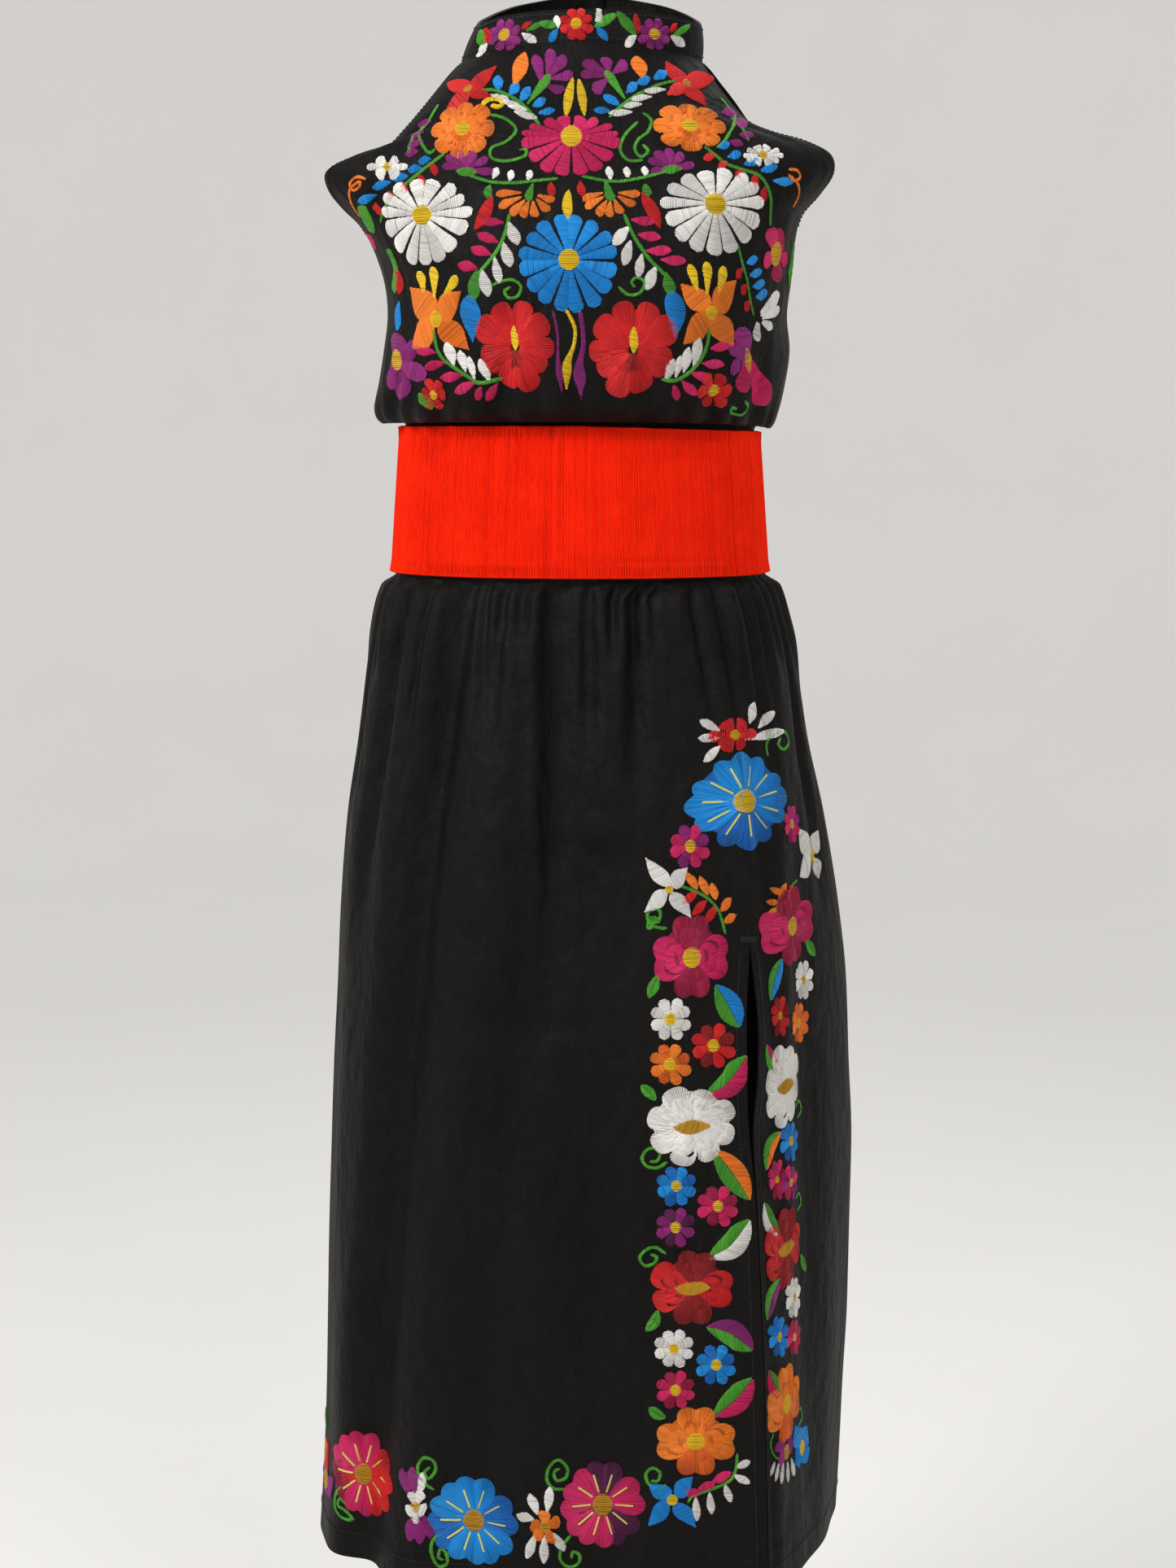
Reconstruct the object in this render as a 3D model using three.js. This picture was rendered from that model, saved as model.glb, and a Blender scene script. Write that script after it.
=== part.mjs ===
// Halter dress: stand collar closed at the nape, bloused bodice, wide elastic belt and a gathered skirt
// with a slit at the wearer's left. Millimetres, +Z up, the front faces -Y, the wearer's left is +X.
// The origin is the middle of the neck, level with the front of the collar seam.
import * as THREE from "three";

// Walls and gaps
const CLOTH_WALL = 1.4; // woven cotton with its turned edges
const COLLAR_WALL = 1.8; // two layers and an interlining
const BELT_WALL = 2.4; // ribbed elastic
const SEAM_GAP = 0.3; // between two pieces sewn edge to edge
const NECK_GAP = 0.25; // from the neck seam's line to the collar, and to the bodice

// Main heights
const BELT_TOP = -268;
const BELT_BOTTOM = -375;
const WAIST_SEAM = -320; // hidden behind the belt
const HEM = -1125;
const SLIT_TOP = -636; // under the bar tack

// The collar's two edges round the neck, by angle from the front
const COLLAR_EDGES = [
  { angle: 0, base: 0, top: 23 },
  { angle: 40, base: -2, top: 22 },
  { angle: 80, base: -5.5, top: 20 },
  { angle: 102, base: -1, top: 27 },
  { angle: 140, base: 17, top: 44 },
  { angle: 180, base: 29, top: 56 },
];
const NECK_BASE = { halfWidth: 88, halfDepth: 70, shift: 1.5 };
const NECK_TOP = { halfWidth: 82, halfDepth: 66, shift: 7 };
const NECK_SIDE = 78; // degrees from the front where the bodice leaves the collar
const COLLAR_LAP = 16; // degrees of lap at the nape
const BUTTON = { radius: 5.5, thick: 2.6, hole: 0.8, holeRing: 1.7 };

// The belt's ring, outer face
const BELT_RING_TOP = { halfWidth: 134, halfDepth: 101, drop: 4 };
const BELT_RING_BOTTOM = { halfWidth: 141.5, halfDepth: 103, drop: 1 };
const BELT_LAP = 20; // degrees of lap at the centre back

// Bodice front, a row per section from the waist seam up to the collar. mid is the centre front, left and
// right are the panel's two edges: side seam up to the underarm, then the armhole edge with its wide tip.
// sweep is how far round the section turns (1 is a half ellipse), flat how level it stays over the bust.
const BODICE_FRONT = [
  { midZ: -319.8, midY: -97.5, leftX: -134, leftY: 1, leftZ: -319.8, rightX: 134, rightY: 1, rightZ: -319.8, sweep: 1, flat: 1 },
  { midZ: -266.5, midY: -96.5, leftX: -130, leftY: 1, leftZ: -266.5, rightX: 130, rightY: 1, rightZ: -270, sweep: 1, flat: 1 },
  { midZ: -260, midY: -111, leftX: -148, leftY: 1, leftZ: -261, rightX: 142, rightY: 1, rightZ: -263, sweep: 1, flat: 1.02 },
  { midZ: -249, midY: -123, leftX: -153, leftY: 1, leftZ: -251, rightX: 148, rightY: 1, rightZ: -250, sweep: 1, flat: 1.08 },
  { midZ: -234, midY: -127.5, leftX: -149, leftY: 1, leftZ: -236, rightX: 153, rightY: 1, rightZ: -232, sweep: 1, flat: 1.15 },
  { midZ: -212, midY: -130, leftX: -145, leftY: 1, leftZ: -214, rightX: 155, rightY: 1, rightZ: -212, sweep: 1, flat: 1.22 },
  { midZ: -187, midY: -131.5, leftX: -142, leftY: 1, leftZ: -190, rightX: 153, rightY: 1, rightZ: -188, sweep: 1, flat: 1.3 },
  { midZ: -163, midY: -132, leftX: -144, leftY: 2, leftZ: -165, rightX: 156, rightY: 2, rightZ: -162, sweep: 1, flat: 1.35 },
  { midZ: -142, midY: -130, leftX: -151, leftY: 3, leftZ: -142, rightX: 158, rightY: 3, rightZ: -138, sweep: 1, flat: 1.38 },
  { midZ: -124, midY: -125, leftX: -160, leftY: -11, leftZ: -124, rightX: 162, rightY: -12, rightZ: -116, sweep: 0.98, flat: 1.38 },
  { midZ: -107, midY: -118, leftX: -172, leftY: -27, leftZ: -112, rightX: 174, rightY: -27, rightZ: -102, sweep: 0.93, flat: 1.36 },
  { midZ: -92, midY: -110.5, leftX: -181, leftY: -41, leftZ: -100, rightX: 183, rightY: -40, rightZ: -88, sweep: 0.87, flat: 1.32 },
  { midZ: -78, midY: -103.5, leftX: -182, leftY: -50, leftZ: -88, rightX: 180, rightY: -48, rightZ: -75, sweep: 0.82, flat: 1.26 },
  { midZ: -64, midY: -96.5, leftX: -168, leftY: -58, leftZ: -81, rightX: 162, rightY: -57, rightZ: -67, sweep: 0.79, flat: 1.2 },
  { midZ: -50, midY: -90, leftX: -143, leftY: -64, leftZ: -77, rightX: 139, rightY: -63, rightZ: -62, sweep: 0.78, flat: 1.15 },
  { midZ: -36, midY: -83.5, leftX: -124, leftY: -57, leftZ: -58, rightX: 120, rightY: -57, rightZ: -53, sweep: 0.8, flat: 1.1 },
  { midZ: -18, midY: -76, leftX: -103, leftY: -37, leftZ: -30, rightX: 101, rightY: -37, rightZ: -28, sweep: 0.84, flat: 1.04 },
];
const UNDERARM_ROW = 8; // the last row whose edges are the side seams

// Bodice back, the same rows: its edges share the side seams, then follow the back of the armhole.
const BODICE_BACK = [
  { midZ: -319.8, midY: 98.5 },
  { midZ: -267, midY: 96.5 },
  { midZ: -260.5, midY: 110 },
  { midZ: -251, midY: 119 },
  { midZ: -236, midY: 121 },
  { midZ: -214, midY: 118 },
  { midZ: -190, midY: 114 },
  { midZ: -165, midY: 111 },
  { midZ: -141, midY: 109.5 },
  { midZ: -121, midY: 109, leftX: -156, leftY: 20, leftZ: -124, rightX: 161, rightY: 20, rightZ: -121, sweep: 0.97, flat: 1.15 },
  { midZ: -101, midY: 108, leftX: -156, leftY: 40, leftZ: -105, rightX: 159, rightY: 40, rightZ: -103, sweep: 0.9, flat: 1.15 },
  { midZ: -81, midY: 106, leftX: -150, leftY: 57, leftZ: -84, rightX: 152, rightY: 57, rightZ: -83, sweep: 0.83, flat: 1.15 },
  { midZ: -61, midY: 103, leftX: -140, leftY: 67, leftZ: -63, rightX: 142, rightY: 67, rightZ: -62, sweep: 0.78, flat: 1.12 },
  { midZ: -41, midY: 98, leftX: -128, leftY: 68, leftZ: -43, rightX: 130, rightY: 68, rightZ: -42, sweep: 0.76, flat: 1.1 },
  { midZ: -20, midY: 90, leftX: -115, leftY: 60, leftZ: -25, rightX: 117, rightY: 60, rightZ: -25, sweep: 0.76, flat: 1.07 },
  { midZ: 1, midY: 81, leftX: -103, leftY: 45, leftZ: -13, rightX: 105, rightY: 45, rightZ: -13, sweep: 0.79, flat: 1.04 },
  { midZ: 16, midY: 75, leftX: -93, leftY: 29, leftZ: -5, rightX: 96, rightY: 29, rightZ: -5, sweep: 0.83, flat: 1.02 },
];
const NAPE_SLIT_ROW = 12; // the back is cut open from here up to the collar
const NAPE_SLIT_HALF = [0, 1.6, 2.2, 2, 1.3, 0.5]; // half the opening, row by row

// Skirt sections. Each is a smooth line from the slit's edge past the centre front, the wearer's right side
// and the back, then round to the other edge of the slit, where the side panel turns back sharply.
const SKIRT = [
  { z: -320.1, slitX: 80, slitY: -78.5, front: -97.5, left: -134, back: 98.5, right: 134, rightY: 1, turnX: 118, turnY: -46 },
  { z: -377, slitX: 84, slitY: -78.5, front: -99, left: -138, back: 99.5, right: 138, rightY: 1, turnX: 122, turnY: -47 },
  { z: -385, slitX: 87, slitY: -86, front: -106, left: -147, back: 107, right: 147, rightY: 1, turnX: 129, turnY: -52 },
  { z: -405, slitX: 91, slitY: -92, front: -111, left: -154, back: 113, right: 154, rightY: 3, turnX: 136, turnY: -55 },
  { z: -440, slitX: 98, slitY: -97, front: -116, left: -160, back: 119, right: 163, rightY: 6, turnX: 143, turnY: -59 },
  { z: -500, slitX: 110, slitY: -103, front: -123, left: -168, back: 127, right: 173, rightY: 11, turnX: 150, turnY: -65 },
  { z: -560, slitX: 119, slitY: -111, front: -129, left: -177, back: 132, right: 187, rightY: 16, turnX: 156, turnY: -73 },
  { z: -632, slitX: 122, slitY: -123, front: -134, left: -183, back: 136, right: 200, rightY: 20, turnX: 160, turnY: -77 },
  { z: -690, slitX: 120, slitY: -130, front: -137, left: -186, back: 138, right: 207, rightY: 22, turnX: 162, turnY: -80 },
  { z: -755, slitX: 121, slitY: -135, front: -139, left: -190, back: 140, right: 210, rightY: 23, turnX: 163, turnY: -82 },
  { z: -820, slitX: 127, slitY: -138, front: -140, left: -193, back: 142, right: 213, rightY: 24, turnX: 164, turnY: -84 },
  { z: -890, slitX: 131, slitY: -140, front: -141, left: -196, back: 144, right: 212, rightY: 24, turnX: 165, turnY: -85 },
  { z: -955, slitX: 134, slitY: -141, front: -141.5, left: -198, back: 145, right: 211, rightY: 24, turnX: 166, turnY: -86 },
  { z: -1020, slitX: 136, slitY: -142, front: -142, left: -200, back: 146, right: 208, rightY: 24, turnX: 167, turnY: -87 },
  { z: -1080, slitX: 138, slitY: -142, front: -142, left: -203, back: 147, right: 206, rightY: 25, turnX: 168, turnY: -88 },
  { z: HEM, slitX: 139, slitY: -142, front: -142, left: -206, back: 148, right: 204, rightY: 25, turnX: 169, turnY: -89 },
];
// The same places as angles from the front, while the cloth is still a plain ring inside the belt
const WAIST_ANGLES = [37.5, 0, -45, -90, -135, -180, -225, -270, -298, -322.5];
// How far the slit stands open, and how far its side panel sits behind the front panel
const SLIT_OPEN = [
  { z: SLIT_TOP, open: 0.3, behind: 0 },
  { z: -655, open: 4, behind: 0 },
  { z: -700, open: 9.5, behind: 1 },
  { z: -735, open: 8.5, behind: 2 },
  { z: -780, open: 3, behind: 3 },
  { z: -820, open: 1.2, behind: 4 },
  { z: HEM, open: 1.2, behind: 5 },
];

// The skirt's main folds. at and to are places round the section at the fold's top and bottom: 0 and 9 are
// the slit's edges, 1 centre front, 3 wearer's right side, 5 centre back, 7 wearer's left side.
const SKIRT_FOLDS = [
  { at: 0.05, to: 0.02, top: -380, bottom: -560, depth: -3, width: 7 },
  { at: 0.36, to: 0.38, top: -380, bottom: -450, depth: -3.5, width: 6 },
  { at: 0.54, to: 0.62, top: -380, bottom: -570, depth: -5, width: 8 },
  { at: 0.72, to: 0.74, top: -380, bottom: -440, depth: -3.5, width: 6 },
  { at: 0.91, to: 0.93, top: -380, bottom: -500, depth: -4, width: 7 },
  { at: 1.12, to: 1.08, top: -380, bottom: -760, depth: -8, width: 19 },
  { at: 1.36, to: 1.52, top: -400, bottom: -1125, depth: 5, width: 24 },
  { at: 1.52, to: 1.5, top: -380, bottom: -500, depth: -4, width: 6 },
  { at: 1.7, to: 1.95, top: -380, bottom: -1060, depth: -6, width: 14 },
  { at: 2.0, to: 2.3, top: -380, bottom: -1125, depth: 3, width: 15 },
  { at: 2.24, to: 2.45, top: -380, bottom: -620, depth: -5, width: 8 },
  { at: 2.7, to: 2.8, top: -380, bottom: -560, depth: -4, width: 8 },
  { at: 3.3, to: 3.4, top: -380, bottom: -900, depth: -6, width: 13 },
  { at: 3.75, to: 3.7, top: -380, bottom: -600, depth: -5, width: 9 },
  { at: 4.15, to: 4.1, top: -380, bottom: -1125, depth: -7, width: 17 },
  { at: 4.5, to: 4.55, top: -380, bottom: -640, depth: -5, width: 9 },
  { at: 4.82, to: 4.78, top: -380, bottom: -1125, depth: -7, width: 18 },
  { at: 5.2, to: 5.24, top: -380, bottom: -700, depth: -5, width: 10 },
  { at: 5.55, to: 5.5, top: -380, bottom: -1125, depth: -7, width: 17 },
  { at: 5.95, to: 6.0, top: -380, bottom: -600, depth: -5, width: 9 },
  { at: 6.35, to: 6.3, top: -380, bottom: -1000, depth: -6, width: 14 },
  { at: 6.75, to: 6.7, top: -380, bottom: -620, depth: -4, width: 9 },
  { at: 7.5, to: 7.55, top: -380, bottom: -620, depth: -5, width: 8 },
  { at: 8.25, to: 8.3, top: -380, bottom: -540, depth: -4, width: 7 },
];
// Gathers pushed up over the belt, on both sides of the bodice: at is from -1 to 1 across the panel
const BLOUSE_FOLDS = [
  { at: -0.78, depth: -4, width: 0.08 },
  { at: -0.5, depth: -3, width: 0.06 },
  { at: -0.26, depth: -4, width: 0.07 },
  { at: -0.02, depth: -3, width: 0.06 },
  { at: 0.22, depth: -4, width: 0.07 },
  { at: 0.48, depth: -3, width: 0.06 },
  { at: 0.74, depth: -4.5, width: 0.08 },
];

// Mesh detail
const FRONT_STEPS = 32;
const BACK_STEPS = 20;
const COLLAR_STEPS = 44;
const BELT_STEPS = 56;
const SKIRT_STEPS = [14, 13, 12, 7, 7, 7, 7, 7, 6]; // columns between one place round the skirt and the next
const SKIRT_ROWS = [-320.1, -377, -387, -408, -445, -500, -570, SLIT_TOP, -700, -780, -880, -1000, HEM];

const rad = (degrees) => (degrees * Math.PI) / 180;

// A named column of a table at a given key, through every row without overshoot
function column(table, key, name, value) {
  const rising = table[1][key] > table[0][key];
  const rows = rising ? table : [...table].reverse();
  const x = rows.map((row) => row[key]);
  const y = rows.map((row) => row[name]);
  const last = x.length - 1;
  if (value <= x[0]) return y[0];
  if (value >= x[last]) return y[last];
  const slope = (i) => (y[i + 1] - y[i]) / (x[i + 1] - x[i]);
  const lean = (i) => {
    if (i === 0) return slope(0);
    if (i === last) return slope(last - 1);
    const before = slope(i - 1);
    const after = slope(i);
    return before * after <= 0 ? 0 : (2 * before * after) / (before + after);
  };
  let i = 0;
  while (value > x[i + 1]) i += 1;
  const span = x[i + 1] - x[i];
  const t = (value - x[i]) / span;
  return (
    y[i] * (1 + 2 * t) * (1 - t) ** 2 +
    y[i + 1] * t * t * (3 - 2 * t) +
    span * (lean(i) * t * (1 - t) ** 2 - lean(i + 1) * t * t * (1 - t))
  );
}

// A smooth line through points, at a place counted in points
function throughPoints(points, place) {
  const last = points.length - 1;
  const i = Math.min(Math.floor(place), last - 1);
  const t = place - i;
  const [a, b, c, d] = [i - 1, i, i + 1, i + 2].map((j) => points[Math.max(0, Math.min(last, j))]);
  const mix = (p, q, r, s) =>
    0.5 * (2 * q + (r - p) * t + (2 * p - 5 * q + 4 * r - s) * t * t + (3 * q - p - 3 * r + s) * t ** 3);
  return new THREE.Vector2(mix(a.x, b.x, c.x, d.x), mix(a.y, b.y, c.y, d.y));
}

const bump = (distance, width) => Math.exp(-((distance / width) ** 2));
const ease = (t) => {
  const held = Math.max(0, Math.min(1, t));
  return held * held * (3 - 2 * held);
};

// A cloth piece: outer points, four-cornered cells, and which way each point goes to the inner face
class Cloth {
  constructor() {
    this.points = [];
    this.cells = [];
  }
  add(point) {
    this.points.push(point.clone());
    return this.points.length - 1;
  }
  addGrid(rows) {
    const ids = rows.map((row) => row.map((point) => (point.isVector3 ? this.add(point) : point)));
    for (let r = 0; r + 1 < ids.length; r += 1) {
      for (let c = 0; c + 1 < ids[r].length; c += 1) {
        this.cells.push([ids[r][c], ids[r][c + 1], ids[r + 1][c + 1], ids[r + 1][c]]);
      }
    }
    return ids;
  }
  findNormals() {
    this.normals = this.points.map(() => new THREE.Vector3());
    for (const [a, b, c, d] of this.cells) {
      const across = this.points[c].clone().sub(this.points[a]);
      const along = this.points[d].clone().sub(this.points[b]);
      const face = across.cross(along);
      for (const id of [a, b, c, d]) this.normals[id].add(face);
    }
    for (const normal of this.normals) normal.normalize();
  }
  level(ids) {
    for (const id of ids) this.normals[id].setZ(0).normalize();
  }
  // Two seam edges share one direction, so their end faces stay apart by the seam's gap
  static mitre(one, onesIds, other, othersIds) {
    onesIds.forEach((id, i) => {
      const shared = one.normals[id].clone().add(other.normals[othersIds[i]]).normalize();
      one.normals[id].copy(shared);
      other.normals[othersIds[i]].copy(shared);
    });
  }
  mesh(name, wall, colour, roughness = 0.85) {
    const inner = this.points.map((point, i) => point.clone().addScaledVector(this.normals[i], -wall));
    const count = this.points.length;
    const index = [];
    const edges = new Map();
    for (const [a, b, c, d] of this.cells) {
      index.push(a, b, c, a, c, d);
      index.push(count + a, count + c, count + b, count + a, count + d, count + c);
      for (const [from, to] of [[a, b], [b, c], [c, d], [d, a]]) edges.set(`${from} ${to}`, [from, to]);
    }
    for (const [from, to] of edges.values()) {
      if (!edges.has(`${to} ${from}`)) {
        index.push(to, from, count + from, to, count + from, count + to);
      }
    }
    const geometry = new THREE.BufferGeometry();
    const flat = [...this.points, ...inner].flatMap((point) => [point.x, point.y, point.z]);
    geometry.setAttribute("position", new THREE.Float32BufferAttribute(flat, 3));
    geometry.setIndex(index);
    geometry.computeVertexNormals();
    const mesh = new THREE.Mesh(geometry, new THREE.MeshStandardMaterial({ color: colour, roughness }));
    mesh.name = name;
    return mesh;
  }
}

// Neck and collar
function neckPoint(angle, rise) {
  const turn = Math.abs(((angle + 540) % 360) - 180);
  const base = column(COLLAR_EDGES, "angle", "base", turn);
  const top = column(COLLAR_EDGES, "angle", "top", turn);
  const size = (key) => NECK_BASE[key] + (NECK_TOP[key] - NECK_BASE[key]) * rise;
  return new THREE.Vector3(
    size("shift") + size("halfWidth") * Math.sin(rad(angle)),
    -size("halfDepth") * Math.cos(rad(angle)),
    base + (top - base) * rise,
  );
}
function lapped(point, centreX, angle, lap, wall) {
  const lift = (wall + SEAM_GAP) * ease((angle - (180 - lap / 2 - 22)) / 20);
  const out = new THREE.Vector3(point.x - centreX, point.y, 0).normalize();
  return point.addScaledVector(out, lift);
}
function collarBand() {
  const cloth = new Cloth();
  const start = -180 - COLLAR_LAP / 2;
  const turn = 360 + COLLAR_LAP;
  const rows = [0, 0.5, 1].map((rise) =>
    Array.from({ length: COLLAR_STEPS + 1 }, (_, i) => {
      const angle = start + (turn * i) / COLLAR_STEPS;
      const point = neckPoint(angle, rise);
      point.z += rise === 0 ? NECK_GAP : 0;
      const belly = rise === 0.5 ? 1.2 : 0;
      const out = new THREE.Vector3(Math.sin(rad(angle)), -Math.cos(rad(angle)), 0);
      return lapped(point.addScaledVector(out, belly), NECK_BASE.shift, angle, COLLAR_LAP, COLLAR_WALL);
    }),
  );
  const ids = cloth.addGrid(rows);
  cloth.findNormals();
  ids.forEach((row) => cloth.level(row));
  return cloth.mesh("collar_band", COLLAR_WALL, 0x1c1a1c);
}
function collarButton() {
  const disc = new THREE.Shape().absarc(0, 0, BUTTON.radius, 0, 2 * Math.PI, false);
  for (let i = 0; i < 4; i += 1) {
    const angle = Math.PI / 4 + (i * Math.PI) / 2;
    const hole = new THREE.Path();
    hole.absarc(BUTTON.holeRing * Math.cos(angle), BUTTON.holeRing * Math.sin(angle), BUTTON.hole, 0, 2 * Math.PI, true);
    disc.holes.push(hole);
  }
  const geometry = new THREE.ExtrudeGeometry(disc, { depth: BUTTON.thick, bevelEnabled: false, curveSegments: 10 });
  // Upright on the lapped end, just clear of the collar
  const seat = lapped(neckPoint(180, 0.5), NECK_BASE.shift, 180, COLLAR_LAP, COLLAR_WALL);
  const lean = Math.atan2(NECK_BASE.halfDepth - NECK_TOP.halfDepth, 27);
  geometry.rotateX(-Math.PI / 2 + lean);
  geometry.translate(seat.x, seat.y + 1.5, seat.z);
  const mesh = new THREE.Mesh(geometry, new THREE.MeshStandardMaterial({ color: 0x141214, roughness: 0.3 }));
  mesh.name = "collar_button";
  return mesh;
}

// Bodice
function bodicePoint(row, across) {
  const side = across < 0 ? "left" : "right";
  const t = Math.abs(across);
  const whole = (row.sweep * Math.PI) / 2;
  const turn = whole * t;
  const out = Math.sin(turn) / Math.sin(whole);
  const back = ((1 - Math.cos(turn)) / (1 - Math.cos(whole))) ** row.flat;
  return new THREE.Vector3(
    row[`${side}X`] * out,
    row.midY + (row[`${side}Y`] - row.midY) * back,
    row.midZ + (row[`${side}Z`] - row.midZ) * back,
  );
}
function blouse(point, across, rowIndex, facing) {
  const strength = [0, 0, 0.7, 1, 0.8, 0.5, 0.25][rowIndex] ?? 0;
  const push = BLOUSE_FOLDS.reduce(
    (sum, fold) => sum + fold.depth * bump(across - fold.at * (1 - 0.03 * rowIndex), fold.width), 0);
  const out = new THREE.Vector3(point.x * 0.6, facing * 110, 0).normalize();
  return point.addScaledVector(out, push * strength);
}
function bodice() {
  const front = new Cloth();
  const frontRows = BODICE_FRONT.map((row, r) =>
    Array.from({ length: FRONT_STEPS + 1 }, (_, c) => {
      const across = -1 + (2 * c) / FRONT_STEPS;
      return blouse(bodicePoint(row, across), across, r, -1);
    }),
  );
  frontRows.push(
    Array.from({ length: FRONT_STEPS + 1 }, (_, c) => {
      const point = neckPoint(-NECK_SIDE + (2 * NECK_SIDE * c) / FRONT_STEPS, 0);
      point.z -= NECK_GAP;
      return point;
    }),
  );
  const frontIds = front.addGrid(frontRows);

  const back = new Cloth();
  const half = BACK_STEPS / 2;
  const backRows = BODICE_BACK.map((own, r) => {
    const shared = r <= UNDERARM_ROW ? { ...BODICE_FRONT[r], flat: Math.min(1.1, BODICE_FRONT[r].flat) } : {};
    const row = { ...shared, ...own };
    if (r <= UNDERARM_ROW) {
      row.leftY += SEAM_GAP;
      row.rightY += SEAM_GAP;
    }
    return Array.from({ length: BACK_STEPS + 1 }, (_, c) => {
      const across = 1 - (2 * c) / BACK_STEPS;
      return blouse(bodicePoint(row, across), across, r, 1);
    });
  });
  backRows.push(
    Array.from({ length: BACK_STEPS + 1 }, (_, c) => {
      const from = 180 - NECK_SIDE;
      const point = neckPoint(from + (2 * NECK_SIDE * c) / BACK_STEPS, 0);
      point.z -= NECK_GAP;
      return point;
    }),
  );
  const nearIds = back.addGrid(
    backRows.map((row, r) =>
      row.slice(0, half + 1).map((point, c) => {
        if (c === half && r >= NAPE_SLIT_ROW) point = point.clone().setX(point.x + NAPE_SLIT_HALF[r - NAPE_SLIT_ROW]);
        return point;
      }),
    ),
  );
  const farIds = back.addGrid(
    backRows.map((row, r) =>
      row.slice(half).map((point, c) => {
        if (c > 0) return point;
        if (r <= NAPE_SLIT_ROW) return nearIds[r][half];
        return point.clone().setX(point.x - NAPE_SLIT_HALF[r - NAPE_SLIT_ROW]);
      }),
    ),
  );

  front.findNormals();
  back.findNormals();
  const seamRows = Array.from({ length: UNDERARM_ROW + 1 }, (_, r) => r);
  Cloth.mitre(front, seamRows.map((r) => frontIds[r][FRONT_STEPS]), back, seamRows.map((r) => nearIds[r][0]));
  Cloth.mitre(front, seamRows.map((r) => frontIds[r][0]), back, seamRows.map((r) => farIds[r][half]));
  for (const [cloth, ids] of [[front, frontIds], [back, nearIds], [back, farIds]]) {
    cloth.level(ids[0]);
    cloth.level(ids[ids.length - 1]);
  }
  return [
    front.mesh("bodice_front", CLOTH_WALL, 0x1b191b),
    back.mesh("bodice_back", CLOTH_WALL, 0x1b191b),
  ];
}

// Belt
function belt() {
  const cloth = new Cloth();
  const start = -180 - BELT_LAP / 2;
  const turn = 360 + BELT_LAP;
  const rows = [0, 0.5, 1].map((rise) =>
    Array.from({ length: BELT_STEPS + 1 }, (_, i) => {
      const angle = start + (turn * i) / BELT_STEPS;
      const size = (key) => BELT_RING_BOTTOM[key] + (BELT_RING_TOP[key] - BELT_RING_BOTTOM[key]) * rise;
      const droop = size("drop") * Math.max(0, Math.sin(rad(angle))) * (rise === 1 ? 1 : 0.5);
      const point = new THREE.Vector3(
        size("halfWidth") * Math.sin(rad(angle)),
        -size("halfDepth") * Math.cos(rad(angle)),
        BELT_BOTTOM + (BELT_TOP - BELT_BOTTOM) * rise - droop,
      );
      return lapped(point, 0, angle, BELT_LAP, BELT_WALL);
    }),
  );
  const ids = cloth.addGrid(rows);
  cloth.findNormals();
  ids.forEach((row) => cloth.level(row));
  return cloth.mesh("belt", BELT_WALL, 0xf0380c, 0.9);
}

// Skirt
function skirtSection(z) {
  const size = (name) => column(SKIRT, "z", name, z);
  const names = ["front", "back", "left", "right", "rightY", "slitX", "slitY", "turnX", "turnY"];
  const section = Object.fromEntries(names.map((name) => [name, size(name)]));
  section.open = z > SLIT_TOP ? SEAM_GAP : column(SLIT_OPEN, "z", "open", z);
  section.behind = z > SLIT_TOP ? 0 : column(SLIT_OPEN, "z", "behind", z);
  return section;
}
function sectionPoint(section, place) {
  const { front, back, left, right, rightY, slitX, slitY, turnX, turnY, open, behind } = section;
  if (place <= 1) {
    const x = slitX * (1 - place);
    return new THREE.Vector2(x, front + (slitY - front) * (1 - place) ** 2);
  }
  if (place <= 7) {
    // An oval, from the centre front round the wearer's right side and the back to the other side
    const angle = ((place - 1) * Math.PI) / 4;
    const width = place <= 5 ? -left : right;
    const depth = place <= 3 ? -front : back;
    const centre = rightY * (1 - Math.sin(angle)) * 0.5 * (place <= 3 ? 0 : 1);
    return new THREE.Vector2(-width * Math.sin(angle), centre - (depth - (place <= 3 ? 0 : centre)) * Math.cos(angle));
  }
  const edge = { x: slitX + open, y: slitY + behind };
  const points = [
    [turnX, 2 * rightY - turnY],
    [right, rightY],
    [turnX, turnY],
    [edge.x, edge.y],
    [edge.x - (turnX - edge.x) * 0.7, edge.y + (edge.y - turnY) * 0.7],
  ];
  return throughPoints(points.map(([x, y]) => new THREE.Vector2(x, y)), place - 6);
}
function ringPoint(section, place) {
  const angle = rad(throughPoints(WAIST_ANGLES.map((degrees) => new THREE.Vector2(degrees, 0)), place).x);
  const x = (Math.sin(angle) < 0 ? -section.left : section.right) * Math.sin(angle);
  const y = (Math.cos(angle) > 0 ? section.front : -section.back) * Math.cos(angle);
  return new THREE.Vector2(x + (place === 9 ? section.open : 0), y);
}
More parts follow.
